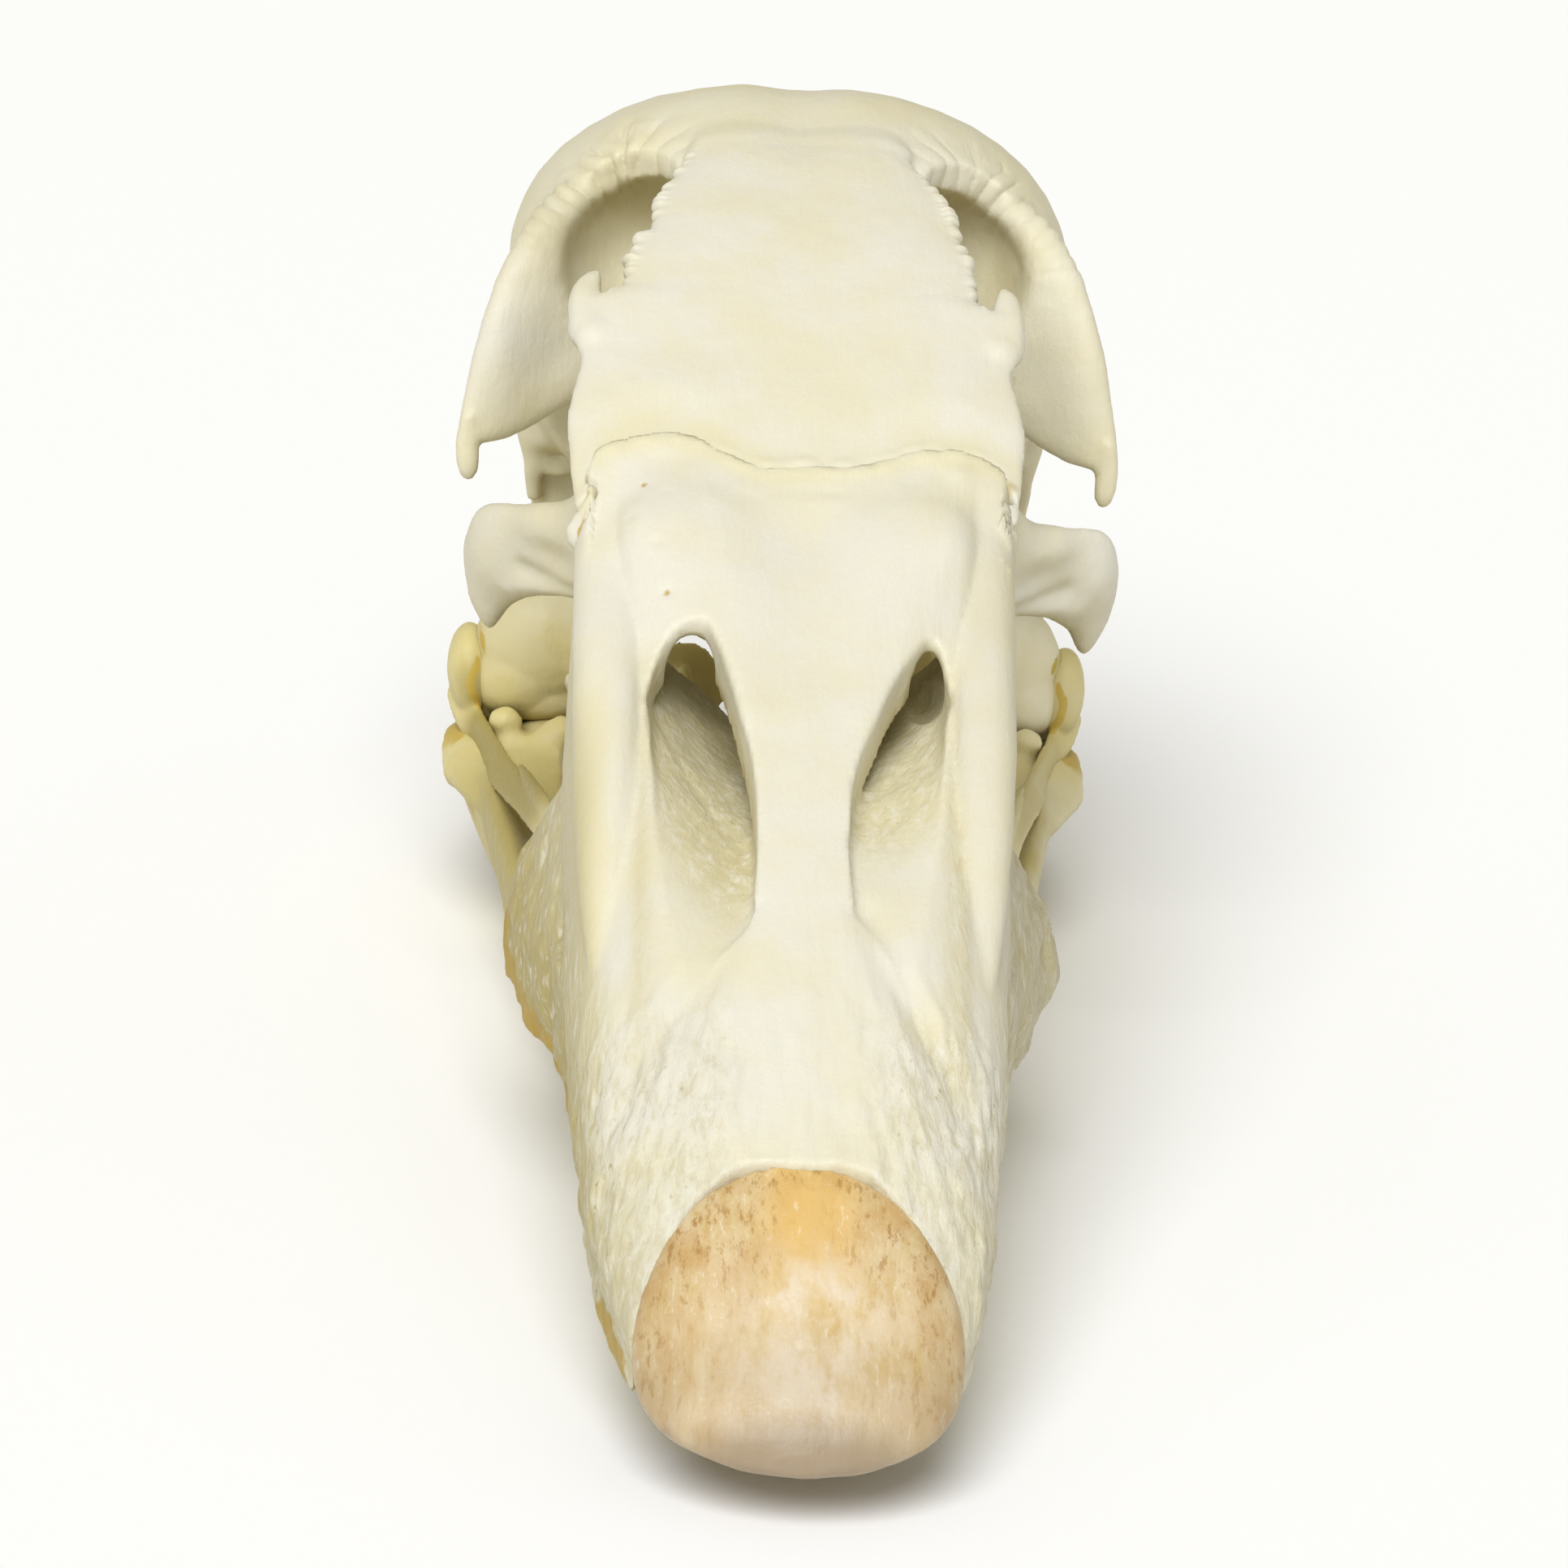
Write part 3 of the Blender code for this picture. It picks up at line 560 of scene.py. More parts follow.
def eye_walls():
    """The wall between the eyes, the rod along its foot and the block that closes it in front."""
    floor = -18.6
    stations = []
    for y in (3.0, 8.0, 15.0, 22.0, 30.0):
        ceiling = top(y) - 1.0
        middle = (ceiling + floor) / 2
        stations.append((y, middle, 1.15, ceiling - middle, middle - floor, 3.2))
    wall = loft("interorbital_wall", stations)
    rostrum = sweep("rostrum", (
        (0, 40, -17.0, 5.5, 1.8), (0, 33, -18.2, 3.2, 1.8), (0, 22, -19.0, 2.0, 1.7),
        (0, 10, -19.2, 1.5, 1.4), (0, 0.5, -18.6, 1.1, 1.1)), (0, 0, 1))
    front_wall = loft("ethmoid", (
        (1.0, -5.0, 8.6, 4.0, 4.0, 2.4), (3.5, -5.2, 9.8, 6.0, 7.0, 2.6),
        (6.5, -5.0, 7.8, 7.6, 9.5, 2.4), (9.5, -5.0, 3.0, 8.0, 11.0, 2.2)))
    return [wall, rostrum, front_wall]


def wing():
    """The wing behind the left socket and the finger that hangs from its tip."""
    tip = BREADTH / 2
    blade = plate("postorbital", (
        (7.6, 32.4, -6.0, 12.0, 34.6, 6.6, 2.4), (10.6, 30.3, -6.3, tip - 5.3, 31.4, 5.5, 2.3),
        (13.5, 27.9, -6.9, tip - 3.4, 28.7, 3.5, 1.7), (15.5, 26.4, -7.7, tip - 1.9, 26.6, -0.3, 1.1),
        (17.0, 25.4, -8.1, tip - 1.0, 25.5, -3.6, 0.85), (18.1, 24.7, -8.2, tip - 0.45, 24.7, -6.4, 0.7),
        (18.7, 24.3, -8.2, tip - 0.4, 24.4, -7.2, 0.6)))
    finger = sweep("wing_tip", ((tip - 0.95, 24.5, -6.4, 0.5, 0.5), (tip - 0.9, 24.3, -7.9, 0.68, 0.62),
                                (tip - 0.95, 24.0, -9.0, 0.7, 0.62), (tip - 1.05, 23.8, -9.8, 0.58, 0.55),
                                (tip - 1.15, 23.7, -10.3, 0.3, 0.3)), (0.0, -1.0, 0.0))
    return [blade, finger]


def brow():
    """The swelling before the left socket and the hook that points back from it."""
    swollen = ball("brow_swelling", (12.1, 12.6, 3.5), (1.7, 2.8, 1.3))
    hook = sweep("supraorbital_hook", (
        (12.3, 12.0, 3.8, 1.4, 1.0), (12.75, 13.8, 4.5, 1.05, 0.9), (12.65, 15.2, 5.0, 0.85, 0.75),
        (12.35, 16.2, 5.3, 0.55, 0.6), (12.1, 16.9, 5.4, 0.3, 0.35)), (0, -0.4, 1))
    return [swollen, hook]


def ear():
    """The walls, edges and knob round the left ear."""
    return [
        sweep("ear_flange", ((13.6, 44.0, -6.0, 3.0, 1.4), (13.4, 45.6, -11.5, 3.0, 1.3),
                             (13.0, 46.4, -16.0, 2.0, 1.1), (12.4, 46.6, -18.8, 0.8, 0.8)), (0.5, 1, 0)),
        sweep("ear_wall", ((12.4, 38.4, -4.0, 3.8, 1.2), (12.6, 38.2, -11.6, 3.9, 1.0),
                           (12.6, 37.9, -13.6, 3.3, 0.9), (12.6, 37.6, -15.9, 2.9, 0.8),
                           (12.6, 37.3, -18.2, 2.7, 0.7)), (0, 1, 0)),
        sweep("ear_edge", ((16.2, 37.2, -8.0, 0.8, 0.9), (15.9, 36.9, -11.6, 0.7, 0.9),
                           (15.4, 36.6, -13.6, 0.6, 0.8), (15.1, 36.6, -16.2, 0.5, 0.7)), (0, 1, 0)),
        sweep("ear_shelf", ((15.6, 36.7, -13.5, 0.4, 0.5), (13.8, 36.2, -13.9, 0.5, 0.7),
                            (11.6, 36.4, -13.5, 0.5, 0.6)), (0, 0, 1)),
        ball("ear_knob", (14.5, 36.2, -12.0), (1.25, 1.3, 0.85)),
    ]


def cranium():
    """Braincase, forehead, wall between the eyes and postorbital wings, in one bone."""
    condyle = ball("occipital_condyle", (0, 52.4, -14.8), (1.9, 2.0, 1.6))
    facet = ball("basipterygoid_facet", (2.4, 20.5, -20.1), (1.3, 2.6, 1.0))
    skull = join("cranium", [braincase(), forehead(), *eye_walls(), condyle]
                 + pair(*wing(), *brow(), *ear(), facet))
    canal = ball("foramen_magnum", (0, 53.4, -10.2), (3.5, 3.4, 3.1))
    hollowed = pair(ball("occipital_window", (5.0, 53.6, -3.2), (1.5, 2.2, 2.2)),
                    ball("ear_opening", (17.0, 42.2, -11.2), (3.4, 3.2, 3.0)),
                    ball("temporal_hollow", (20.4, 38.0, -4.6), (4.2, 6.0, 5.2)),
                    ball("socket_bowl", (8.6, 28.5, 2.2), (5.4, 6.5, 5.2)))
    cut(skull, [canal, hinge_block(HINGE_LAP, front=True)] + hollowed)
    return even(skull, voxel=VOXEL, rounds=3)


def forehead_height(x, y):
    """Height of the forehead and of the bill's base, for arrays of x and y."""
    across = np.minimum(np.abs(x) / 13.4, 0.985)
    drop = 1.25 * (1.0 - (1.0 - across ** 2.6) ** 0.385)
    return np.interp(y, SMOOTH_TOP[:, 0], SMOOTH_TOP[:, 1]) - drop


def behind_hinge(points):
    """How far behind the hinge line each point lies."""
    return points[:, 1] - np.interp(points[:, 0], SMOOTH_HINGE[:, 0], SMOOTH_HINGE[:, 1])


def level_hinge(thing, front):
    """Bring forehead and bill to one height along the hinge line."""
    points = vertex_points(thing)
    normals = vertex_normals(thing)
    gap = behind_hinge(points)
    target = forehead_height(points[:, 0], points[:, 1])
    weight = step_up(gap, -4.5, -0.6) if front else step_up(-gap, -4.0, -0.6)
    weight *= step_up(normals[:, 2], 0.15, 0.5) * step_up(points[:, 2] - target, -2.2, -1.4)
    weight *= step_up(-np.abs(points[:, 0]), -12.9, -12.2)
    points[:, 2] += weight * (target - points[:, 2])
    move(thing, points)


def slim_left(thing):
    """Draw in the forehead and bill on the skull's left side, which is a little the narrower."""
    points = vertex_points(thing)
    x, y, z = points.T
    amount = 0.8 * step_up(x, 2.5, 12.0) * step_up(-x, -15.5, -14.5) * step_up(-y, -19.0, -14.0)
    amount *= 0.35 + 0.65 * step_up(y, -52.0, -40.0)
    amount *= 1.0 - 0.6 * step_up(-z, 18.0, 24.0) * step_up(y, -26.0, -20.0)
    points[:, 0] -= amount
    move(thing, points)


# Pin holes in the forehead, just behind the hinge line.
FOREHEAD_PITS = ((-2.3, 0.9, -0.1), (2.4, 1.1, 0.0), (0.0, 1.5, 0.3))


def cranium_stroke(points, normals):
    """The faint relief of the roof, the hollows of wings and ears, and the crests at the back."""
    push = rough(points, (0.05, 3.0, 1), (0.02, 1.0, 2))
    push += ridge(points, ((0.0, 30.0, 10.4), (0.0, 37.0, 10.9), (0.0, 45.0, 8.7)), 2.4, -0.35)
    push += relief(points, (
        ((14.3, 26.8, -3.4), (1.9, 2.0, 2.4), -0.55), ((17.6, 26.0, -3.0), (1.2, 2.0, 4.0), 0.25),
        ((8.5, 6.0, 2.0), (3.5, 3.0, 3.0), 0.25), ((12.6, 36.9, -11.0), (1.0, 1.0, 1.0), -0.4),
        ((13.0, 36.6, -15.4), (1.0, 1.0, 1.0), -0.4),
    ), (
        (((14.2, 46.5, -6.0), (13.2, 47.8, -1.0), (11.0, 49.3, 1.4), (7.5, 50.6, 2.2),
          (3.5, 50.9, 3.0), (0.0, 50.8, 3.5)), 1.2, 0.5),
    ))
    push += ridge(points, ((0.0, 51.5, 2.5), (0.0, 53.2, -1.0), (0.0, 54.3, -4.5)), 1.8, 0.5)
    push += swelling(points, (-9.6, 19.4, 6.9), (0.5, 0.5, 0.6), 0.5)
    push += dimples(points, FOREHEAD_PITS, 0.35, 0.3)
    return push


def rim_lumps(points, normals):
    """Finger-like lobes lying side by side over the rear rim of each socket."""
    push = np.zeros(len(points))
    for side, seed in zip(SIDES, (3, 8)):
        gaps, lengths = beside(points, between(flipped(side, SOCKET_RIM), 8), 4.6)
        near = np.isfinite(gaps)
        gaps = np.where(near, gaps, 9.0)
        lane = np.column_stack([lengths, gaps, 0.0 * gaps])
        phase = 0.62 * lengths + 0.013 * lengths ** 2 + 0.22 * noise(lane, (2.4, 1.8, 1.0), seed)
        number = np.floor(phase)
        part = phase - number
        round_top = np.sqrt(np.clip(1.0 - (2.0 * part - 1.0) ** 2, 0.0, 1.0))
        finger = 0.55 * round_top + 0.45 * np.sin(math.pi * part) - 0.6
        spot = np.column_stack([number, 0.0 * gaps, 0.0 * gaps])
        height = 0.75 + 0.6 * noise(spot, (1.7, 1.0, 1.0), seed + 1)
        height *= 0.35 + 0.65 * step_up(points[:, 1], 29.4, 32.0)
        length = 1.7 + 0.5 * noise(spot, (1.3, 1.0, 1.0), seed + 2)
        length += 1.5 * step_up(points[:, 1], 31.0, 34.0)
        push += near * 0.36 * finger * height * np.exp(-(gaps / length) ** 4)
        push += near * 0.05 * noise(points, (0.9, 1.4, 0.9), seed + 3) * np.exp(-(gaps / 3.6) ** 4)
    return push


def margin_teeth(points, normals):
    """The finely toothed edge of the forehead over each socket."""
    push = np.zeros(len(points))
    edge = [(11.9, 16.9, 5.5), (11.7, 15.6, 5.1), (11.5, 14.4, 4.8)]
    edge += [(width, y, top(y) - 1.15) for y, width in
             ((14.4, 11.2), (17.2, 10.25), (21.3, 9.05), (25.4, 7.95), (28.8, 6.8))]
    for side, seed in zip(SIDES, (17, 23)):
        gaps, lengths = beside(points, between(flipped(side, edge), 6), 1.2)
        lane = np.column_stack([lengths, 0 * lengths, 0 * lengths])
        teeth = 0.6 * np.abs(noise(lane, (0.5, 1, 1), seed)) + 0.4 * noise(lane, (1.7, 1, 1), seed + 1)
        near = np.exp(-(np.where(np.isfinite(gaps), gaps, 9.0) / 0.7) ** 2)
        push += 0.75 * (teeth - 0.12) * near * step_up(side * normals[:, 0], 0.1, 0.6)
    return push


def within(values, low, high, fade):
    """1 between two values, fading to 0 outside them."""
    return step_up(values, low - fade, low) * step_up(-values, -high - fade, -high)


def crease_weights(points):
    """Where parts of the skull run softly into each other: the socket's rear wall and the wing, the
    hollows of temple and ear, and the wall between the eyes."""
    x, y, z = np.abs(points[:, 0]), points[:, 1], points[:, 2]
    socket = within(x, 11.2, 16.4, 1.8) * within(y, 24.5, 31.5, 1.8) * within(z, -5.0, 5.0, 2.0)
    temple = within(x, 14.0, 20.0, 1.0) * within(y, 33.5, 47.0, 1.5) * within(z, -13.0, 1.5, 1.5)
    wall = within(x, 0.0, 5.0, 1.5) * within(z, -16.5, 3.0, 1.5)
    wall *= np.maximum(within(y, 7.0, 11.5, 1.5), within(y, 22.5, 27.5, 1.5))
    return np.maximum(np.maximum(socket, 0.9 * temple), wall)


# The bill's lower rim. Each row is (y, half width, height).
BILL_RIM = ((-58.0, 6.4, -31.9), (-54.0, 8.6, -31.8), (-48.0, 10.0, -31.2), (-40.0, 10.8, -30.5),
            (-30.0, 11.6, -29.6), (-24.0, 12.2, -28.9), (-19.0, 12.9, -28.2), (-14.0, 14.6, -27.6),
            (-10.0, 15.7, -27.1), (-6.0, 15.3, -26.6))

# The floor of the nose. Each row is (y, height at the middle, height at the side bar).
NASAL_FLOOR = ((-46.0, -23.4, -23.4), (-40.0, -19.9, -20.5), (-36.0, -17.5, -17.9), (-33.0, -16.2, -16.0),
               (-30.0, -15.3, -14.7), (-25.0, -14.2, -12.5), (-20.0, -13.4, -10.7), (-16.0, -13.2, -9.9),
               (-10.0, -13.5, -9.3), (-4.0, -13.9, -9.1), (8.0, -14.0, -9.0))


def from_table(rows, y):
    """The values of a table's other columns at a place along Y."""
    places, *columns = zip(*rows)
    return [at(y, places, column) for column in columns]


def shelf(x, y):
    """Height of the nasal floor, which rises outward to the side bar and lies higher on the left."""
    near, far = from_table(NASAL_FLOOR, y)
    outward = held((abs(x) - 2.8) / 6.0)
    fillet = held((abs(x) - 7.9) / 1.2, high=1.5) * at(y, (-15.0, -9.0), (1.0, 0.0))
    left = held(x / 2.5) * at(y, (-35.0, -28.0, -14.0, -8.0), (0.0, 1.1, 1.3, 0.6))
    return near + left * (1.0 - outward) + (far - near) * outward ** 1.4 + 3.0 * fillet ** 2


def trough(name, rows, roof, bottom, columns=26):
    """A room along Y with a shaped floor. Each row is (y, one side x, other side x)."""
    rings = []
    for y, one, two in between(rows, PATH_STEPS):
        across = [one + (two - one) * step / columns for step in range(columns + 1)]
        low = [(x, y, min(bottom(x, y), roof(x, y) - 0.2)) for x in across]
        high = [(x, y, roof(x, y)) for x in across[::-1]]
        rings.append(low + high)
    return skin(name, rings)


def nostril(side):
    """A long opening between the ridge of the bill and its side bar, shallow in front."""
    if side > 0:
        rear = ((-17.0, 4.1, 9.4), (-14.4, 5.1, 9.0), (-12.2, 6.4, 8.5), (-10.9, 7.3, 8.0))
    else:
        rear = ((-16.6, 3.6, 9.1), (-14.0, 4.2, 8.6), (-12.0, 4.9, 7.9), (-10.8, 5.5, 6.8))
    edges = ((-43.5, 8.9, 10.3), (-41.0, 7.8, 10.2), (-38.5, 6.5, 10.0), (-36.0, 5.3, 9.9),
             (-33.5, 4.0, 9.7), (-30.0, 2.9, 9.6), (-26.0, 2.5, 9.5), (-21.0, 2.8, 9.4)) + rear

    def bottom(x, y):
        inner, _ = from_table(edges, y)
        inward = held((inner + 2.0 - abs(x)) / 2.0)
        return shelf(x, y) + at(-y, (29.0, 35.0), (0.0, 2.4)) * inward ** 2

    above_bill = 6.0
    rows = [(y, side * inner, side * outer) for y, inner, outer in edges]
    return trough("nostril", rows, lambda x, y: above_bill, bottom)


def nasal_cavity():
    """The hollow behind the nostrils and under the ridge of the bill."""
    bars = ((-34.0, 5.6, 3.6), (-31.0, 7.4, 3.6), (-26.0, 8.2, 3.2), (-16.0, 8.4, 3.0), (-8.0, 8.9, 2.6),
            (0.0, 10.4, 2.4), (5.0, 10.6, 2.4))

    def roof(x, y):
        width, bar = from_table(bars, y)
        return top(y) - bar - 1.2 * min(abs(x) / width, 1.0) ** 3

    return trough("nasal_cavity", [(y, -width, width) for y, width, _ in bars], roof, shelf, columns=40)


def slanted_back():
    """What lies behind the bill's slanting back edge."""
    outline = ((-0.6, -4.4), (30.0, -4.4), (30.0, -60.0), (-5.6, -60.0), (-5.0, -24.6))
    return skin("bill_back", [[(x, y, z) for y, z in outline] for x in (-25.0, 25.0)])


def lobe(reach):
    """The flaring lobe at the bill's lower rear corner."""
    return plate("rim_lobe", (
        (11.8, -6.0, -16.0, 11.8, -17.0, -19.5, 1.0), (reach - 2.2, -5.0, -19.6, 12.6, -19.0, -22.0, 1.1),
        (reach - 0.5, -5.6, -23.0, 12.9, -20.5, -25.0, 1.1),
        (reach, -6.8, -25.8, 12.7, -20.5, -27.4, 0.95),
        (reach + 0.1, -9.4, -27.3, 13.0, -18.8, -28.4, 0.75)))


def closed(half):
    """An outline from its left half, whose two ends lie on the middle line."""
    return [(x, y) for x, y in half] + [(-x, y) for x, y in half[-2:0:-1]]


def nail_socket():
    """The outline of the opening in the bill's tip that the nail sits in."""
    half = NAIL_WIDTH / 2 - 0.2
    return closed(between((
        (0.0, -NAIL_TOP - 0.1), (0.36 * half, -45.5), (0.63 * half, -47.0), (0.83 * half, -49.3),
        (0.95 * half, -52.0), (half, -54.5), (0.95 * half, -57.0), (0.75 * half, -59.5),
        (0.4 * half, -61.4), (0.0, -61.9)), 4))


def bill_shell():
    """The rounded outside of the bill, before it is hollowed."""
    stations = []
    for y, width, power, rise in (
            (6.0, 12.8, 4.6, -0.2), (3.0, 12.8, 4.6, 0.0), (0.0, 12.9, 4.6, 0.3), (-6.0, 13.0, 3.6, 0.8),
            (-14.0, 12.9, 2.7, 0.2), (-24.0, 12.6, 2.6, 0.0), (-34.0, 12.1, 2.5, 0.0),
            (-42.0, 11.3, 2.4, 0.0), (-48.0, 10.3, 2.3, 0.0), (-53.0, 8.9, 2.3, 0.0),
            (-57.0, 6.4, 2.2, 0.0), (-59.3, 3.2, 2.0, 0.0)):
        ceiling = top(y) + rise
        _, floor = from_table(BILL_RIM, y)
        middle = 0.45 * ceiling + 0.55 * floor
        stations.append((y, middle, width, ceiling - middle, middle - floor, power))
    return loft("bill_shell", stations[::-1])


def bill_sides():
    """The thick rim, the cheek and the bar beside the nostril, on the left."""
    stations = []
    for y in (-55.0, -48.0, -40.0, -30.0, -22.0, -16.0, -12.0, -8.0):
        width, height = from_table(BILL_RIM, y)
        stations.append((width - 1.0, y, height + 1.6, 1.7, 1.15))
    rim = sweep("rim", stations, (1.0, 0.0, 0.25))
    cheek = plate("cheek", (
        (11.4, -7.0, -21.0, 11.4, -26.0, -22.0, 1.8), (11.6, -7.0, -25.0, 11.3, -28.0, -26.0, 1.8),
        (11.8, -8.0, -27.0, 11.2, -28.0, -28.0, 1.2)))
    side_bar = sweep("side_bar", (
        (10.9, 4.0, -1.8, 2.0, 1.5), (10.9, -1.0, -3.8, 2.0, 1.6), (11.0, -6.0, -5.9, 1.9, 1.7),
        (10.9, -12.0, -8.1, 1.9, 1.7), (10.8, -20.0, -12.0, 1.8, 1.5), (10.3, -28.0, -16.9, 1.5, 1.0),
        (9.6, -35.0, -21.6, 0.9, 0.7)), (0, 0.4, 1))
    return [rim, cheek, side_bar]


def palate_hollow():
    """The hollow under the bill."""
    stations = []
    for y, lift in ((-53.0, 2.0), (-48.0, 5.0), (-38.0, 6.5), (-26.0, 7.0), (-14.0, 7.4), (-4.0, 7.6)):
        width, height = from_table(BILL_RIM, y)
        stations.append((y, height - 2.0, width - 2.2, lift, 6.0, 2.4))
    return loft("palate_hollow", stations)


def throat():
    """The opening behind the nasal floor, down through the palate."""
    edge = ((0.0, -8.6), (2.4, -6.0), (3.6, -4.2), (4.6, -3.2), (5.8, -2.8), (7.0, -3.4), (7.9, -4.0),
            (8.8, -4.0), (9.6, -1.0), (10.4, 3.4), (10.4, 12.0))
    outline = list(edge) + [(-x, y) for x, y in edge[:0:-1]]
    return slab("throat", outline, -45.0, -9.0)


def upper_bill():
    """The bony bill, open under the nostrils behind and cupped below."""
    bill = join("upper_bill", [bill_shell(), lobe(14.8), other_side(lobe(15.6))] + pair(*bill_sides()))
    cut(bill, [
        ball("nostril_vault", (-6.2, -9.6, -8.7), (1.7, 3.8, 2.3), (-20, 0, 0)),
        ball("nostril_vault", (7.4, -9.8, -9.0), (1.5, 3.8, 2.2), (-20, 0, 0)),
        nasal_cavity(), palate_hollow(), throat(), nostril(1), nostril(-1),
        hinge_block(HINGE_LAP, front=False), slanted_back(),
        slab("nail_socket", nail_socket(), -45.0, -15.0)])
    return even(bill, voxel=VOXEL, rounds=2)


# Small pits in the base of the bill.
BASE_PITS = ((-9.1, -0.9, -1.0), (-7.7, -1.8, -1.3), (-9.6, -3.5, -2.2), (-8.2, -5.6, -3.0),
             (-7.7, -8.9, -4.4))


def top_heights(y):
    """Height of the skull's top at the middle, for an array of y."""
    return np.interp(y, SMOOTH_TOP[:, 0], SMOOTH_TOP[:, 1])


def bill_edge(y):
    """Height of the bill's lower rim, for an array of y."""
    return np.interp(y, (-58.0, -40.0, -24.0, -10.0, -6.0), (-31.9, -30.5, -28.9, -27.1, -26.6))


def bill_stroke(points, normals):
    """Valley and swellings of the base, fanning wrinkles, porous floor and streaky rims."""
    x, y, z = points.T
    out = np.abs(x)
    upward = step_up(normals[:, 2], 0.1, 0.5)
    push = rough(points, (0.04, 2.4, 21))
    push += swelling(points, (0.0, -4.6, -2.6), (3.4, 5.0, 4.0), -1.0)
    push += swelling(points, (0.0, -11.0, -5.4), (2.4, 5.0, 3.0), -0.3)
    push += relief(points, (((8.7, -3.6, -2.0), (2.6, 3.0, 3.0), 0.4),), (
        (((9.5, -3.0, -2.1), (9.5, -5.5, -3.6), (9.3, -8.0, -5.0), (9.1, -10.5, -6.3)), 1.1, 0.15),
        (((8.7, -4.5, -2.6), (7.2, -9.0, -4.6), (5.0, -13.0, -6.2), (3.2, -17.0, -8.0)), 1.3, 0.12),
        (((3.3, -30.0, -14.5), (4.5, -33.2, -16.2), (6.0, -35.6, -17.2), (8.1, -38.0, -19.0),
          (9.6, -41.0, -20.8)), 1.0, -0.4),
    ))
    # The wrinkles fan out from a point on the middle line, and are measured at a radius of 34 mm.
    fan_y, fan_radius = -12.0, 34.0
    fan = np.arctan2(x, fan_y - y)
    fanned = np.column_stack([fan * fan_radius, np.hypot(x, y - fan_y), 0.3 * z])
    front = step_up(-y, 32.0, 37.0) * upward * (0.45 + 0.55 * step_up(out, 1.5, 5.0))
    push += front * rough(fanned, (0.07, (1.5, 6.0, 6.0), 31), (0.08, (0.6, 2.2, 2.2), 32),
                          (0.10, (0.42, 1.3, 1.4), 33))
    low = step_up(bill_edge(y) - z, -13.0, -6.0) * step_up(out, 8.0, 10.0)
    fibres = np.column_stack([x, 0.8 * y + 0.6 * z, 0.8 * z - 0.6 * y])
    push += low * rough(fibres, (0.16, (1.4, 3.4, 1.4), 41), (0.17, (0.6, 2.0, 0.55), 42),
                        (0.09, (0.5, 1.1, 0.4), 43))
    floor = step_up(top_heights(y) - z, 1.6, 2.6) * upward * step_up(out, 2.4, 3.2)
    floor *= step_up(-out, -8.8, -8.0) * step_up(-y, 2.0, 4.0) * step_up(y, -36.0, -32.0)
    push += floor * rough(points, (0.07, (1.2, 1.7, 1.2), 46), (0.04, 0.6, 47))
    push += dimples(points, BASE_PITS, 0.35, 0.12)
    return push


# The crusts where the hinge line runs down the two sides, and the groove beside the right one.
HINGE_ENDS = (((-12.6, -1.1, 0.2), (-12.9, -1.3, -1.0), (-13.1, -1.4, -2.6), (-13.1, -1.5, -4.3)),
              ((12.5, -1.0, 0.2), (12.9, -1.3, -0.8), (13.1, -1.5, -2.8), (13.2, -1.6, -4.9)))
ORANGE_LINE = ((-12.1, -1.4, 0.0), (-12.35, -1.8, -1.0), (-12.5, -2.1, -2.4), (-12.55, -2.3, -3.8))


def hinge_band(points, place, width):
    """1 along a line beside the hinge, fading to 0 over the width. A place behind it is positive."""
    return np.exp(-((behind_hinge(points) - place) / width) ** 2)


def on_top(points, low, high):
    """1 where a bone reaches the height of forehead and bill, and 0 further down."""
    return step_up(points[:, 2] - forehead_height(points[:, 0], points[:, 1]), low, high)


def hinge_lip(points, normals):
    """The chipped lip along the bill's rear edge, and the crust down its two ends."""
    chipped = np.clip(0.8 + rough(points, (0.5, 1.5, 71), (0.45, 0.6, 72)), 0.1, 1.6)
    surface = on_top(points, -1.0, -0.5)
    push = 0.13 * chipped * hinge_band(points, -0.1, 0.42) * surface * step_up(normals[:, 2], 0.1, 0.4)
    push += hinge_band(points, -1.6, 1.0) * surface * rough(points, (0.12, (1.6, 1.0, 2.0), 73))
    push += ridge(points, HINGE_ENDS[0], 0.45, 0.5) * chipped
    push += ridge(points, HINGE_ENDS[1], 0.7, 0.38) * (chipped + rough(points, (0.6, 1.0, 74)))
    push += ridge(points, ORANGE_LINE, 0.3, -0.45)
    return push


def lip_meeting(points, normals):
    """How the forehead meets the bill's lip: a soft swelling up to it, and a faint groove on the right."""
    height = 0.11 - 0.13 * step_up(-points[:, 0], 4.0, 7.0)
    broken = np.clip(0.7 + noise(points, 1.1, 75), 0.0, 1.5)
    return height * hinge_band(points, 0.5, 0.35) * on_top(points, -1.0, -0.5) * broken


def nail_rim(points, normals):
    """The bone's slightly uneven edge round the nail."""
    border = [(x, y, 0.0) for x, y in nail_socket()]
    gaps, _ = beside(points * (1.0, 1.0, 0.0), border + border[:1], 2.5)
    push = np.exp(-(gaps / 0.7) ** 2) * step_up(normals[:, 2], 0.15, 0.5)
    return push * (0.02 + rough(points, (0.07, 0.8, 81), (0.05, 0.4, 82)))


def nail():
    """The horny nail at the bill's tip, a raised dome."""
    half = NAIL_WIDTH / 2
    return even(join("nail", [loft("nail", (
        (-NAIL_TOP, -23.0, 3.2, 0.9, 1.0, 2.2), (-47.3, -24.5, 0.71 * half, 1.75, 1.6, 2.2),
        (-51.0, -27.0, 0.95 * half, 2.6, 2.4, 2.2), (-54.5, -29.4, half, 3.3, 3.0, 2.2),
        (-58.0, -30.6, 0.86 * half, 2.7, 2.0, 2.2), (-60.3, -31.1, 0.55 * half, 1.6, 1.3, 2.1),
        (-BILL_LENGTH, -31.4, 0.18 * half, 0.6, 0.5, 2.0)))]))


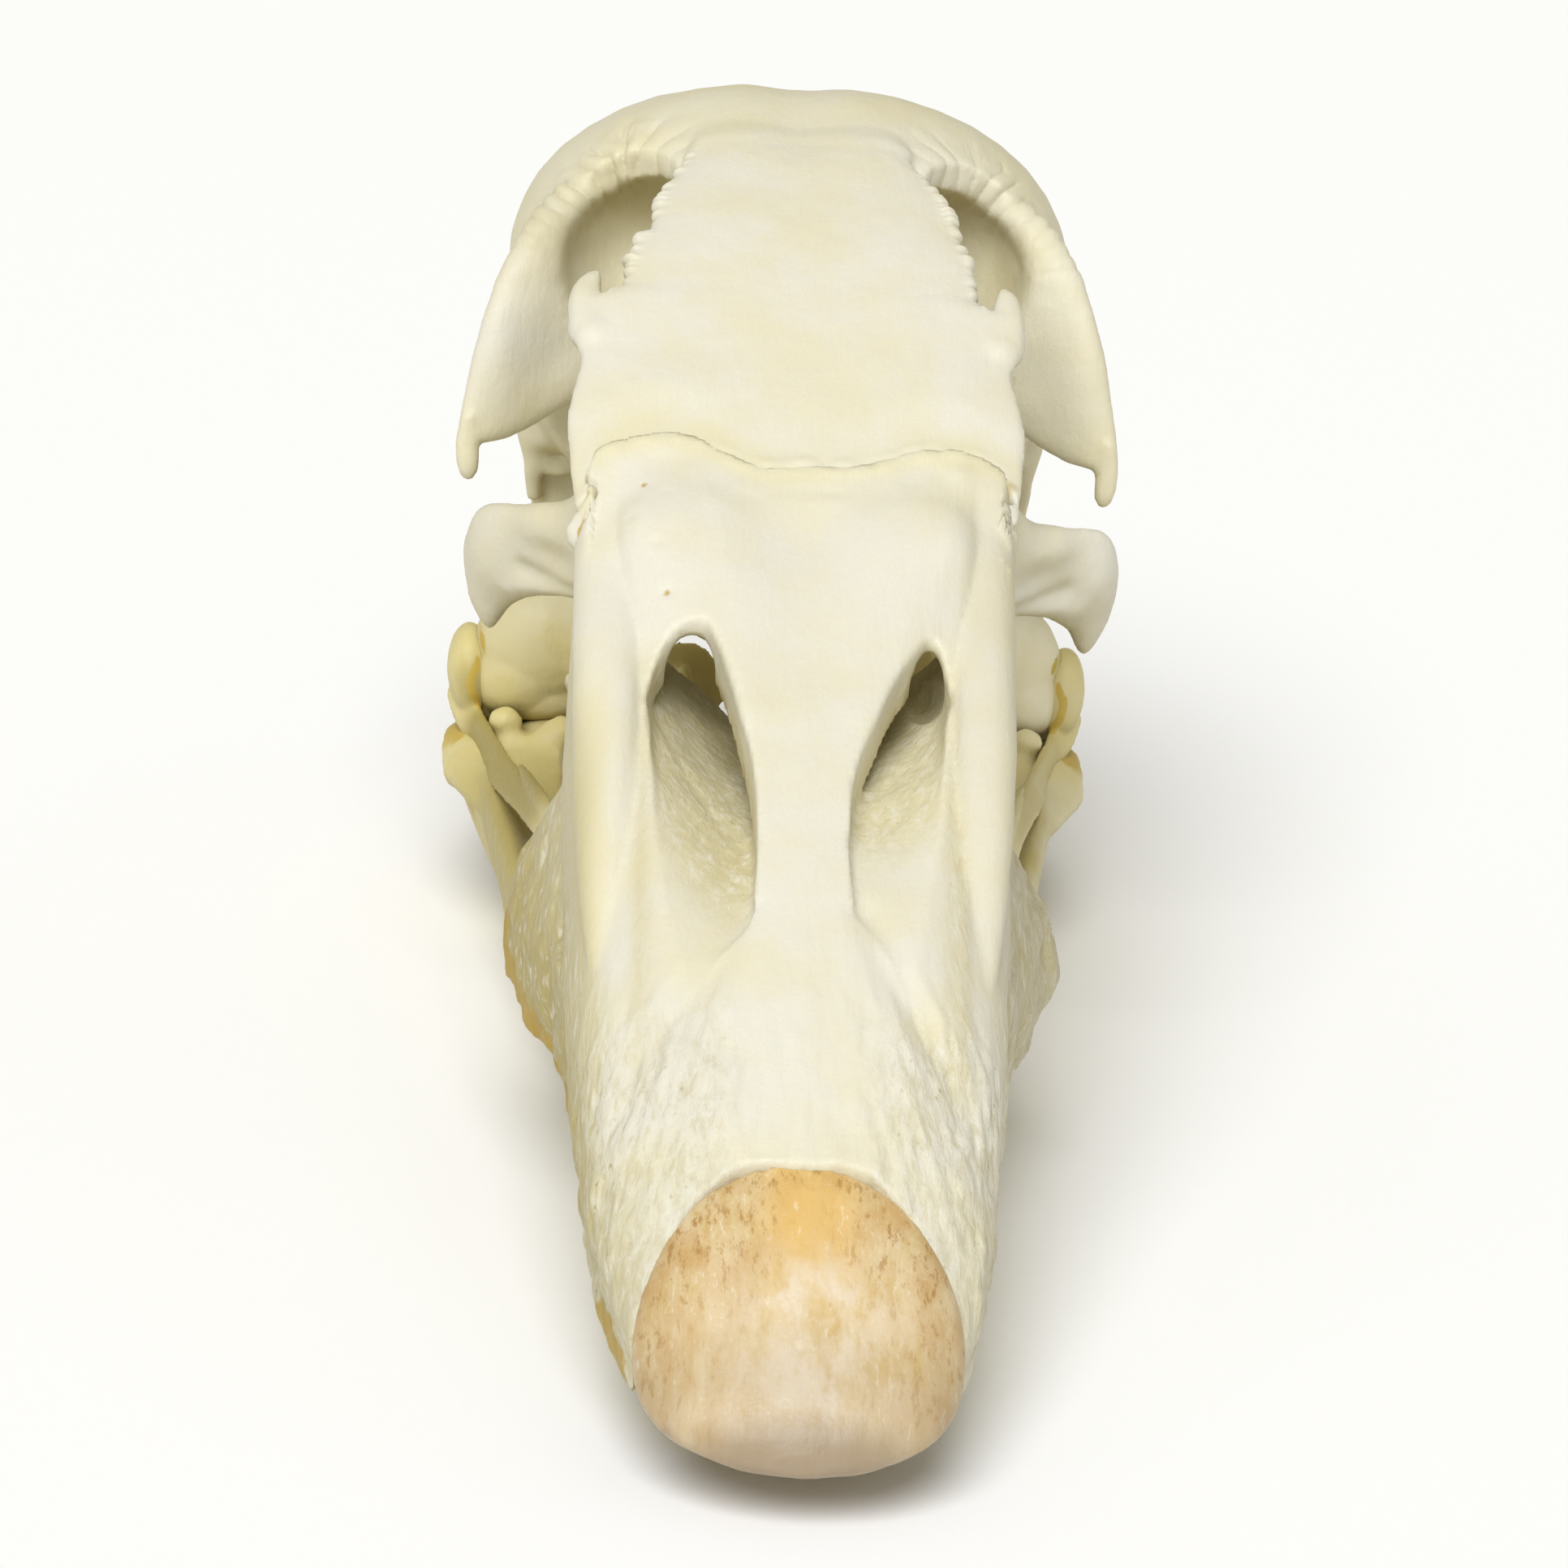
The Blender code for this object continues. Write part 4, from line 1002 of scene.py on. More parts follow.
def nail_stroke(points, normals):
    """Faint lengthwise waves and fine scratches."""
    return rough(points, (0.06, (1.6, 7.0, 5.0), 51), (0.025, (0.5, 2.4, 2.0), 52))


def lacrimal():
    """The plate that flares from the front of the eye socket."""
    return even(join("lacrimal", [plate("lacrimal_plate", (
        (8.6, 2.4, -1.6, 9.0, 3.2, -9.0, 1.6), (11.6, 3.8, -2.4, 11.6, 4.4, -10.2, 1.4),
        (13.4, 5.2, -4.4, 13.4, 6.0, -10.6, 1.2),
        (15.4, 7.0, -5.7, 15.2, 7.6, -11.4, 0.9), (17.0, 8.4, -6.2, 16.5, 9.0, -12.6, 0.8),
        (18.3, 9.6, -7.0, 17.5, 10.0, -14.5, 0.75), (19.0, 10.4, -9.0, 18.6, 10.6, -13.0, 0.5)))]))


def lacrimal_stroke(points, normals):
    """A swollen face with a fold where the plate leaves the forehead."""
    return 0.6 * bone_stroke(points, normals) + relief(points, (
        ((17.6, 8.8, -9.2), (1.7, 2.0, 2.8), 0.6), ((15.2, 6.2, -6.2), (2.2, 2.0, 1.2), 0.4),
        ((13.6, 4.6, -8.0), (1.6, 2.0, 1.2), -0.35),
    ), (
        (((15.9, 6.6, -9.4), (14.8, 5.4, -9.6), (13.6, 4.4, -9.9), (12.4, 3.6, -10.0)), 0.7, -0.28),
        (((16.4, 7.6, -11.0), (15.2, 6.2, -10.5), (14.0, 5.2, -10.8), (12.8, 4.4, -11.0)), 0.7, 0.15),
    ))


def quadrate():
    """The bone that carries the lower jaw."""
    body = ball("quadrate_body", (14.2, 35.9, -25.7), (4.3, 3.4, 4.6), (0, -12, 0))
    heel = ball("quadrate_heel", (15.6, 35.4, -27.6), (3.2, 3.0, 2.9))
    process = sweep("otic_process", (
        (14.4, 36.4, -23.0, 2.4, 2.0), (13.6, 38.2, -18.5, 1.8, 1.5), (12.9, 39.6, -15.0, 2.0, 1.5),
        (12.6, 40.4, -11.6, 1.9, 1.6)), (0, -1, 0))
    blade = sweep("orbital_process", ((13.0, 34.4, -24.4, 3.6, 1.5), (10.2, 32.2, -23.0, 2.8, 0.8),
                                      (7.8, 30.0, -21.0, 1.7, 0.6)), (0.6, -1.0, 0))
    joint = sweep("condyles", ((11.8, 34.8, -28.2, 1.6, 1.2), (14.6, 34.8, -28.8, 2.0, 1.3),
                               (17.6, 35.4, -28.4, 1.6, 1.2)), (0, 0, 1))
    root = ball("cap_root", (17.2, 34.9, -29.2), (1.3, 1.0, 1.3))
    return even(join("quadrate", [body, heel, process, blade, joint, root]))


def jugal():
    """The thin blade from the bill's lobe to the cap on the quadrate, with a splinter lying on it."""
    blade = plate("jugal_blade", (
        (18.9, 36.0, -27.8, 19.9, 36.2, -29.6, 0.6), (18.2, 34.0, -28.9, 19.3, 34.8, -30.9, 0.45),
        (17.3, 30.8, -29.3, 18.3, 33.0, -31.7, 0.34), (16.0, 25.0, -28.8, 17.5, 27.6, -31.4, 0.32),
        (14.8, 18.6, -27.6, 16.5, 21.5, -30.0, 0.32), (14.1, 12.4, -26.5, 15.3, 14.4, -28.3, 0.34),
        (13.5, 6.0, -25.3, 14.0, 6.0, -26.6, 0.5), (12.6, -3.0, -24.3, 12.9, -3.0, -26.0, 0.6),
        (12.2, -9.0, -24.0, 12.4, -9.0, -25.6, 0.6)), sides=20)
    cap = ball("quadratojugal_cap", (18.6, 36.2, -27.7), (1.5, 3.1, 3.0), (0, 6, 0))
    splinter = sweep("splinter", (
        (15.35, 20.3, -27.4, 0.12, 0.12), (14.9, 17.0, -26.9, 0.45, 0.24), (14.1, 11.0, -25.7, 0.55, 0.28),
        (13.3, 5.0, -24.6, 0.5, 0.4)), (1.0, 0.0, 0.6))
    return even(join("jugal", [blade, cap, splinter]), rounds=2)


def pterygoid():
    """The rod from the quadrate to the skull's floor."""
    return even(join("pterygoid", [sweep("pterygoid_rod", (
        (11.8, 33.6, -27.0, 1.3, 1.1), (8.4, 28.6, -25.2, 1.0, 1.0), (5.6, 23.6, -23.2, 1.2, 1.1),
        (4.6, 21.2, -22.6, 0.9, 0.8)), (0, 0, 1))]), rounds=3)


def palatine(side, crest):
    """The long palate bone with the plate that closes the nose behind, up to the crest's height."""
    inner_edge = (
        (4.4, 9.2, crest - 2.0, 5.0, 8.8, -22.4, 0.4), (3.9, 9.4, crest - 4.6, 4.3, 9.0, -21.4, 0.35))
    if side < 0:
        inner_edge = (
            (4.7, 9.0, crest - 0.5, 4.7, 8.8, -22.0, 0.4), (3.8, 9.3, crest - 1.9, 3.9, 9.0, -18.6, 0.35),
            (3.2, 9.4, crest - 3.0, 3.2, 9.2, -18.0, 0.3))
    blade = sweep("palatine_blade", (
        (4.9, 20.6, -22.4, 0.9, 0.8), (5.6, 18.0, -22.1, 2.2, 0.7), (6.4, 13.0, -21.7, 3.0, 0.6),
        (6.9, 6.0, -22.0, 2.7, 0.6), (7.0, 0.0, -22.0, 1.8, 0.6), (7.2, -5.0, -21.0, 1.3, 0.7),
        (7.2, -9.6, -20.2, 1.1, 0.7)), (1.0, 0.0, 0.25))
    screen = plate("palatine_screen", (
        (8.9, 7.2, crest - 0.8, 8.9, 7.0, -22.0, 0.45), (7.4, 8.0, crest, 7.4, 8.0, -23.0, 0.45),
        (5.8, 8.6, crest + 0.1, 6.0, 8.4, -23.4, 0.45)) + inner_edge, sides=20)
    comb = sweep("palatine_comb", ((6.1, 7.6, crest - 1.0, 0.5, 0.4), (5.8, 6.8, crest - 2.4, 0.45, 0.5),
                                   (5.6, 7.6, crest - 3.8, 0.3, 0.3)), (1.0, 0.0, 0.0))
    if side < 0:
        blade, screen, comb = (other_side(piece) for piece in (blade, screen, comb))
    return even(join("palatine", [blade, screen, comb]), rounds=3)


def vomer():
    """The thin blade under the middle of the skull."""
    return even(join("vomer", [sweep("vomer_blade", (
        (0, 18.0, -22.0, 1.2, 0.7), (0, 10.0, -22.2, 1.9, 0.6), (0, 0.0, -21.6, 1.6, 0.55),
        (0, -6.0, -19.4, 1.2, 0.5), (0, -11.0, -17.6, 1.2, 0.5)), (1.0, 0.0, 0.0))]), rounds=3)


def jaw_branch():
    """The left branch of the lower jaw, from its pointed rear end to the middle of the tip."""
    half = JAW_BREADTH / 2
    return sweep("jaw_branch", (
        (half - 4.4, 58.6, -25.4, 0.6, 0.5), (half - 4.6, 56.8, -28.0, 1.6, 0.8),
        (half - 4.6, 52.6, -31.8, 2.5, 1.0), (half - 3.8, 46.4, -34.4, 3.2, 1.3),
        (half - 2.6, 40.0, -35.4, 3.8, 1.8), (half - 3.0, 34.0, -35.8, 4.9, 1.6),
        (half - 4.1, 28.0, -36.0, 5.7, 1.35), (half - 5.2, 19.0, -35.8, 5.5, 1.3),
        (half - 6.6, 8.0, -35.2, 4.9, 1.25), (half - 8.0, -2.0, -34.5, 4.4, 1.2),
        (10.2, -12.0, -33.9, 4.0, 1.15), (9.3, -26.0, -33.6, 3.5, 1.15), (8.2, -38.0, -33.8, 2.9, 1.2),
        (6.2, -46.0, -34.0, 2.4, 1.4), (3.4, -50.0, -34.2, 1.9, 1.5), (0.0, -51.0, -34.2, 1.7, 1.5),
        (-1.6, -50.8, -34.2, 1.7, 1.4)), (1.0, 0.0, -0.32), sides=18)


def jaw_joint():
    """The left joint of the lower jaw: the cup under the quadrate, its knob and saddle, the inner
    process and the pad that the jaw rests on."""
    half = JAW_BREADTH / 2
    return [
        sweep("inner_process", ((16.4, 37.6, -33.0, 2.6, 1.6), (12.8, 38.0, -31.8, 1.9, 1.2),
                                (9.8, 38.8, -29.6, 0.9, 0.8)), (0, 0, 1)),
        plate("joint_cup", ((12.4, 24.0, -32.4, 12.6, 39.0, -32.0, 2.0),
                            (15.6, 23.0, -32.4, 15.6, 40.0, -32.4, 2.2),
                            (18.4, 26.0, -32.2, 18.4, 39.0, -32.2, 1.3),
                            (half, 30.5, -32.9, half, 37.6, -32.8, 1.0))),
        sweep("jaw_knob", ((16.3, 32.0, -29.7, 0.85, 0.8), (16.2, 31.5, -30.6, 0.95, 0.9),
                           (15.7, 30.0, -31.9, 1.5, 1.3), (15.2, 28.0, -33.4, 1.6, 1.2)), (0.4, -1, 0)),
        ball("knob_top", (16.35, 31.8, -29.3), (1.1, 0.95, 0.95)),
        sweep("joint_saddle", ((16.2, 31.2, -30.4, 0.9, 0.7), (15.2, 30.4, -31.0, 1.1, 0.8),
                               (14.2, 30.4, -30.7, 1.2, 0.8), (13.2, 31.0, -29.8, 1.1, 0.8),
                               (12.2, 31.5, -29.2, 0.9, 0.7)), (0.0, -0.6, 1.0)),
        ball("joint_facet", (13.6, 33.6, -31.0), (2.0, 1.8, 1.3)),
        ball("back_pad", (half - 5.4, 30.0, -39.8), (1.7, 5.0, 2.4)),
    ]


def mandible():
    """The lower jaw, both branches and their joined tip."""
    tip = loft("symphysis", (
        (-52.2, -34.6, 1.8, 1.2, 1.2, 2.2), (-49.5, -34.8, 4.6, 1.0, 1.5, 2.4),
        (-45.0, -35.2, 6.4, 0.8, 1.5, 2.4), (-42.0, -35.6, 4.4, 0.6, 1.0, 2.2)))
    return even(join("mandible", [tip] + pair(jaw_branch(), *jaw_joint())), voxel=1.25 * VOXEL)


def bone_stroke(points, normals):
    """Faint unevenness of the smaller bones."""
    return rough(points, (0.05, 1.6, 61), (0.03, 0.7, 62))


def add(tree, kind, inputs=(), **settings):
    """A node with its settings, and with its inputs set or linked."""
    made = tree.nodes.new("ShaderNode" + kind)
    for name, value in settings.items():
        setattr(made, name, value)
    for name, value in dict(inputs).items():
        if isinstance(value, bpy.types.NodeSocket):
            tree.links.new(value, made.inputs[name])
        else:
            made.inputs[name].default_value = value
    return made


def stretched(tree, place, stretch):
    """The place with each axis scaled, to draw a texture out."""
    return add(tree, "VectorMath", {0: place, 1: stretch}, operation="MULTIPLY").outputs["Vector"]


def ramp(tree, value, low, high, start=0.0, end=1.0):
    """A value taken from one range to another, and held at its ends."""
    return add(tree, "MapRange", {"Value": value, "From Min": low, "From Max": high, "To Min": start,
                                  "To Max": end}).outputs["Result"]


def maths(tree, operation, one, other):
    """Two values worked into one."""
    return add(tree, "Math", {0: one, 1: other}, operation=operation).outputs["Value"]


def times(tree, one, other):
    """Two values multiplied."""
    return maths(tree, "MULTIPLY", one, other)


def plus(tree, one, other):
    """Two values added."""
    return maths(tree, "ADD", one, other)


def cloudy(tree, place, scale, detail, **more):
    """Soft noise from 0 to 1 over the bone."""
    return add(tree, "TexNoise", {"Vector": place, "Scale": scale, "Detail": detail, **more}).outputs["Fac"]


def blend(tree, factor, one, other):
    """One colour with another laid over it."""
    return add(tree, "Mix", {"Factor": factor, 6: one, 7: other}, data_type="RGBA").outputs[2]


def new_group(name, given, results):
    """An empty node group, what goes into it and what comes out. Sockets are listed by their kind."""
    tree = bpy.data.node_groups.new(name, "ShaderNodeTree")
    for in_out, kinds in (("INPUT", given), ("OUTPUT", results)):
        for kind, names in kinds.items():
            for socket in names:
                tree.interface.new_socket(socket, in_out=in_out, socket_type="NodeSocket" + kind)
    return tree, tree.nodes.new("NodeGroupInput").outputs, tree.nodes.new("NodeGroupOutput").inputs


FLAKE_LEAN = -0.644           # radians that the flakes of the cheeks lean by
FLAKE_DEPTH = 4.5             # how much deeper the flakes are than the fine grain


def grain_group():
    """Mottling, roughness, pale flecks and height of dry bone, and painted shade in its pits and in the gaps
    between flakes.
    """
    tree, take, give = new_group("bone_grain", {"Vector": ("Position",), "Float": ("Porous",)},
                                 {"Float": ("Mottle", "Roughness", "Pore_and_gap_shade", "Flecks", "Height")})
    place, porous = take["Position"], take["Porous"]
    broad = cloudy(tree, place, 0.17, 5.0)
    fine = cloudy(tree, place, 2.4, 5.0, Roughness=0.6)
    streak = cloudy(tree, stretched(tree, place, (2.6, 0.45, 0.7)), 1.0, 5.0, Distortion=0.3)
    leaning = add(tree, "VectorRotate", {"Vector": place, "Angle": FLAKE_LEAN}, rotation_type="X_AXIS")
    flake = cloudy(tree, stretched(tree, leaning.outputs["Vector"], (1.6, 0.5, 2.6)), 1.2, 6.0,
                   Roughness=0.65, Distortion=0.4)
    cells = add(tree, "TexVoronoi", {"Vector": stretched(tree, place, (1.1, 0.8, 0.8)), "Scale": 1.0})
    # Pits and the gaps between flakes are darkened as painted shade.
    pits = times(tree, ramp(tree, cells.outputs["Distance"], 0.14, 0.04), porous)
    gaps = times(tree, ramp(tree, flake, 0.52, 0.38, 0.0, 0.7), porous)
    calm = plus(tree, times(tree, fine, 0.45), times(tree, streak, 0.55))
    rugged = times(tree, flake, times(tree, porous, FLAKE_DEPTH))
    flaky = maths(tree, "GREATER_THAN", porous, 0.25)
    for name, value in (
            ("Mottle", broad), ("Roughness", ramp(tree, fine, 0.3, 0.7, 0.42, 0.62)),
            ("Pore_and_gap_shade", plus(tree, pits, gaps)), ("Flecks", times(tree, ramp(tree, flake, 0.54, 0.66), flaky)),
            ("Height", plus(tree, calm, maths(tree, "SUBTRACT", rugged, pits)))):
        tree.links.new(value, give[name])
    return tree


def tint_group():
    """Colour of dry bone from its mottling, warmth, flecks and stains, with painted shade in its hollows,
    underneath, in its pores and in the gaps between flakes.
    """
    tree, take, give = new_group("bone_tint", {
        "Color": ("Pale", "Warm", "Shade_tone", "Stained"), "Vector": ("Position",),
        "Float": ("Mottle", "Warmth", "Hollow", "Stain", "Dingy", "Pore_and_gap_shade", "Flecks")}, {"Color": ("Color",)})
    warm = plus(tree, ramp(tree, take["Mottle"], 0.38, 0.66, 0.0, 0.7), take["Warmth"])
    broken = cloudy(tree, take["Position"], 1.5, 6.0, Roughness=0.65)
    patches = ramp(tree, plus(tree, times(tree, take["Stain"], 1.5), broken), 1.0, 1.3)
    colour = take["Pale"]
    # Painted shade: the deep colour laid over hollows, undersides and other shaded places, and over pores and
    # the gaps between flakes.
    for factor, laid in (
            (warm, "Warm"), (maths(tree, "MAXIMUM", take["Hollow"], take["Dingy"]), "Shade_tone"),
            (times(tree, take["Flecks"], 0.75), "Pale"), (times(tree, patches, 0.9), "Stained"),
            (times(tree, take["Pore_and_gap_shade"], 0.7), "Shade_tone")):
        colour = blend(tree, factor, colour, take[laid])
    tree.links.new(colour, give["Color"])
    return tree


def painted(tree, name, output="Fac"):
    """What was painted on the mesh under that name."""
    return add(tree, "Attribute", attribute_name=name).outputs[output]


def new_finish(name, gloss, glow, glow_depth):
    """A material that lets a little light in under its surface, given a depth for each colour."""
    finish = bpy.data.materials.new(name)
    finish.use_nodes = True
    shader = finish.node_tree.nodes["Principled BSDF"]
    shader.inputs["Specular IOR Level"].default_value = gloss
    shader.inputs["Subsurface Weight"].default_value = glow
    shader.inputs["Subsurface Radius"].default_value = glow_depth
    shader.inputs["Subsurface Scale"].default_value = 1.0
    return finish


GRAIN_DEPTH = 0.0002          # of the finest relief, in metres


def cover(finish, colour, roughness, height, strength):
    """Join a finish's colour, roughness and fine relief to its shader."""
    tree = finish.node_tree
    bump = add(tree, "Bump", {"Height": height, "Strength": strength, "Distance": GRAIN_DEPTH})
    for name, value in (("Base Color", colour), ("Roughness", roughness), ("Normal", bump.outputs["Normal"])):
        tree.links.new(value, tree.nodes["Principled BSDF"].inputs[name])


# The colours of the two bones, as red, green and blue. The deep colour is painted shade.
IVORY = {"Pale": (0.725, 0.70, 0.60), "Warm": (0.71, 0.66, 0.46), "Shade_tone": (0.42, 0.35, 0.14),
         "Stained": (0.47, 0.31, 0.045)}
YELLOW = {"Pale": (0.80, 0.755, 0.57), "Warm": (0.69, 0.60, 0.28), "Shade_tone": (0.36, 0.29, 0.08),
          "Stained": (0.55, 0.39, 0.07)}


def bone_material(name, groups, colours):
    """Dry bone: pale with warm patches, painted shade in the hollows, underneath and in the pits, stained in
    places and finely pitted.
    """
    finish = new_finish(name, 0.4, 0.12, (0.0012, 0.0009, 0.0005))
    tree = finish.node_tree
    place = painted(tree, "skull_mm", "Vector")
    grain, tint = (add(tree, "Group", node_tree=group) for group in groups)
    tree.links.new(place, grain.inputs["Position"])
    tree.links.new(painted(tree, "porous"), grain.inputs["Porous"])
    tree.links.new(place, tint.inputs["Position"])
    for key, colour in colours.items():
        tint.inputs[key].default_value = (*colour, 1.0)
    for key in ("Mottle", "Pore_and_gap_shade", "Flecks"):
        tree.links.new(grain.outputs[key], tint.inputs[key])
    for key in ("Warmth", "Hollow", "Stain", "Dingy"):
        tree.links.new(painted(tree, key.lower()), tint.inputs[key])
    cover(finish, tint.outputs["Color"], grain.outputs["Roughness"], grain.outputs["Height"], 0.4)
    return finish


# The colours of the horn, as red, green and blue. The grey is painted shade.
HORN = {"ochre": (0.61, 0.44, 0.19), "sand": (0.72, 0.59, 0.37), "orange": (0.74, 0.49, 0.17),
        "pink": (0.78, 0.68, 0.53), "tan": (0.54, 0.32, 0.10), "brown": (0.40, 0.21, 0.045),
        "cream": (0.86, 0.78, 0.62), "shade_grey": (0.34, 0.26, 0.17)}


def nail_material():
    """Worn horn: ochre and sand with an orange band, pinkish and cream patches, brown marks and painted grey
    shade.
    """
    finish = new_finish("nail_horn", 0.45, 0.15, (0.0015, 0.0009, 0.0005))
    tree = finish.node_tree
    place = painted(tree, "skull_mm", "Vector")
    drawn = cloudy(tree, stretched(tree, place, (1.3, 0.3, 0.3)), 0.8, 8.0, Roughness=0.65)
    cloud = cloudy(tree, stretched(tree, place, (1.0, 0.6, 0.6)), 0.5, 6.0, Roughness=0.62)
    marks = cloudy(tree, stretched(tree, place, (1.5, 0.5, 0.5)), 1.4, 8.0, Roughness=0.75)
    fine = cloudy(tree, place, 3.0, 5.0)
    colour = (*HORN["ochre"], 1.0)
    for factor, laid in (
            (ramp(tree, drawn, 0.36, 0.62), "sand"),
            (times(tree, painted(tree, "warmth"), ramp(tree, drawn, 0.25, 0.55, 0.6, 1.0)), "orange"),
            (times(tree, painted(tree, "porous"), ramp(tree, cloud, 0.38, 0.56)), "pink"),
            (times(tree, painted(tree, "stain"), ramp(tree, cloud, 0.40, 0.62, 0.0, 0.7)), "tan"),
            (times(tree, painted(tree, "stain"), ramp(tree, marks, 0.53, 0.61, 0.0, 0.9)), "brown"),
            (ramp(tree, marks, 0.42, 0.34, 0.0, 0.6), "cream"),
            # Painted shade, in grey.
            (maths(tree, "MAXIMUM", painted(tree, "hollow"), painted(tree, "dingy")), "shade_grey")):
        colour = blend(tree, factor, colour, (*HORN[laid], 1.0))
    cover(finish, colour, ramp(tree, marks, 0.3, 0.7, 0.34, 0.5),
          plus(tree, times(tree, fine, 0.5), drawn), 0.3)
    return finish


def spots(points, centres, radius):
    """1 at each centre, fading to 0 over the radius."""
    return np.max([swelling(points, centre, (radius,) * 3, 1.0) for centre in centres], axis=0)


def along(points, path, width):
    """1 along a path, fading to 0 over the width."""
    return ridge(points, path, width, 1.0, steps=5)


def along_both(points, path, width):
    """1 along a path on each side of the skull, fading to 0 over the width."""
    return sum(along(points, flipped(side, path), width) for side in SIDES)


def on_right(points):
    """1 on the skull's right side, 0 on its left and fading between them near the middle."""
    return step_up(-points[:, 0], -1.0, 1.0)


def cranium_tones(points):
    """Warm at the back and low down, stained at the wing tips, with painted shade in the sockets."""
    x, y, z = points.T
    roof = on_top(points, -1.2, -0.6)
    right_groove = roof * hinge_band(points, 0.6, 0.3) * step_up(-x, 4.0, 7.0)
    under_roof = step_up(top_heights(y) - z, 1.8, 3.0)
    return {
        "warmth": 0.55 * step_up(y, 24.0, 36.0) + 0.5 * step_up(-z, 2.0, 9.0) * step_up(y, 18.0, 24.0)
                  + 0.9 * step_up(-z, 9.0, 12.0) * step_up(y, 30.0, 34.0)
                  + 0.5 * roof * hinge_band(points, 0.5, 1.2),
        "stain": 0.42 * spots(points, ((19.0, 24.0, -8.4), (-18.9, 24.0, -9.0), (19.4, 24.0, -10.0)), 0.8)
                 + 0.35 * spots(points, ((-13.4, 28.0, -0.6), (13.8, 27.5, -3.8), (-14.4, 30.6, -1.4)), 1.2)
                 + 0.6 * spots(points, FOREHEAD_PITS[:2], 0.25) + 0.3 * right_groove,
        # Painted shade in the right socket and under the forehead's edge over each socket.
        "dingy": swelling(points, (-14.5, 29.0, 3.6), (2.6, 3.0, 3.2), 0.42)
                 + under_roof * relief(points, (((8.0, 26.0, 2.0), (3.4, 5.0, 5.0), 0.75),)),
    }


# The stained right edge of the bill's lobe and rim.
STAINED_MARGIN = ((-15.7, -8.5, -26.2), (-15.6, -10.5, -27.3), (-14.5, -14.0, -27.8), (-13.7, -17.0, -28.1),
                  (-12.9, -22.0, -28.9), (-12.4, -26.0, -29.4))
STAINED_TIP = ((-10.3, -48.2, -30.6), (-9.9, -50.0, -30.4), (-9.1, -52.0, -31.0))


def bill_tones(points):
    """Warm at the lip, stained along the right margin and porous in nostrils and cheeks, with a warm painted
    tint of shade low on the right side and painted shade on the sides, in the nostrils and on the cheeks.
    """
    x, y, z = points.T
    out = np.abs(x)
    above_rim = z - bill_edge(y)
    nose = step_up(top_heights(y) - z, 0.8, 2.6) * step_up(-out, -9.6, -8.6) * step_up(y, -42.0, -34.0)
    cheeks = step_up(-above_rim, -9.0, -4.0) * step_up(out, 7.0, 9.0)
    return {
        # The warmth low on the right side is a painted warm tint of shade.
        "warmth": 0.8 * on_top(points, -1.2, -0.6) * hinge_band(points, -0.2, 0.7)
                  + 0.9 * step_up(-x, 10.2, 11.6) * step_up(-z, 6.0, 10.0) + 0.8 * nose,
        "stain": 0.75 * along(points, ORANGE_LINE, 0.4) + 0.3 * along(points, HINGE_ENDS[1], 0.9)
                 + 1.1 * along(points, STAINED_MARGIN, 1.9) + 1.1 * spots(points, STAINED_TIP, 1.6)
                 + 0.6 * spots(points, BASE_PITS, 0.36),
        "porous": 0.45 * nose + 0.75 * step_up(-above_rim, -14.0, -7.0) * step_up(out, 9.0, 11.0)
                  + 0.6 * step_up(-y, 34.0, 40.0) * step_up(out, 2.0, 6.0),
        # Painted shade on the sides of the bill, on the cheeks and in the nostrils, more on the right.
        "dingy": 0.46 * step_up(-x, 10.4, 12.2) * step_up(-z, 7.0, 12.0) + 0.20 * step_up(x, 10.4, 12.2)
                 + 0.14 * step_up(x, 8.6, 9.6) * step_up(y, -32.0, -28.0)
                 + 0.46 * cheeks * (0.4 + 0.6 * on_right(points)) + nose * (0.12 + 0.22 * on_right(points)),
    }


# Where jugal and quadrate meet.
SEAM = ((17.9, 35.4, -24.4), (18.0, 34.2, -25.2), (18.2, 33.6, -26.2), (18.6, 33.2, -27.1),
        (18.4, 33.2, -28.2), (17.9, 33.4, -29.2))
JAW_STAIN = ((20.0, 36.0, -31.6), (19.5, 34.0, -31.3), (18.8, 33.0, -33.6), (18.6, 31.0, -35.0))


def jugal_tones(points):
    """Warm, with a warmer tint painted on the skull's right side for how the light falls there, painted shade
    on the blade before the cap, more on the right, and stained at the seam.
    """
    right = on_right(points)
    middle = step_up(points[:, 1], 4.0, 12.0) * step_up(-points[:, 1], -34.5, -32.5)
    # The extra warmth on the right is painted light; the painted shade lies along the blade.
    return {"warmth": 0.6 + 0.4 * right, "stain": 0.95 * along_both(points, SEAM, 0.3),
            "dingy": 0.9 * middle * (0.4 + 0.6 * right)}


def quadrate_tones(points):
    """Stained at the seam, with a warmer tint painted low on the skull's right side for how the light falls
    there, and painted shade on that side.
    """
    right = on_right(points)
    # Painted light: warmer and shaded on the skull's right side.
    return {"warmth": 0.75 * right * step_up(-points[:, 2], 19.0, 27.0),
            "stain": 0.95 * along_both(points, SEAM, 0.3), "dingy": 0.22 * right}


def mandible_tones(points):
    """Warm, with a warmer tint painted on the skull's right side for how the light falls there, stained at
    the joint and with painted shade in front of it, more on the right.
    """
    right = on_right(points)
    # Painted light: warmer on the right, and painted shade in front of the joint.
    return {"warmth": 0.3 + 0.5 * right, "stain": 0.62 * along_both(points, JAW_STAIN, 1.6),
            "dingy": 0.7 * step_up(-points[:, 1], -32.0, -23.0) * (0.5 + 0.5 * right)}


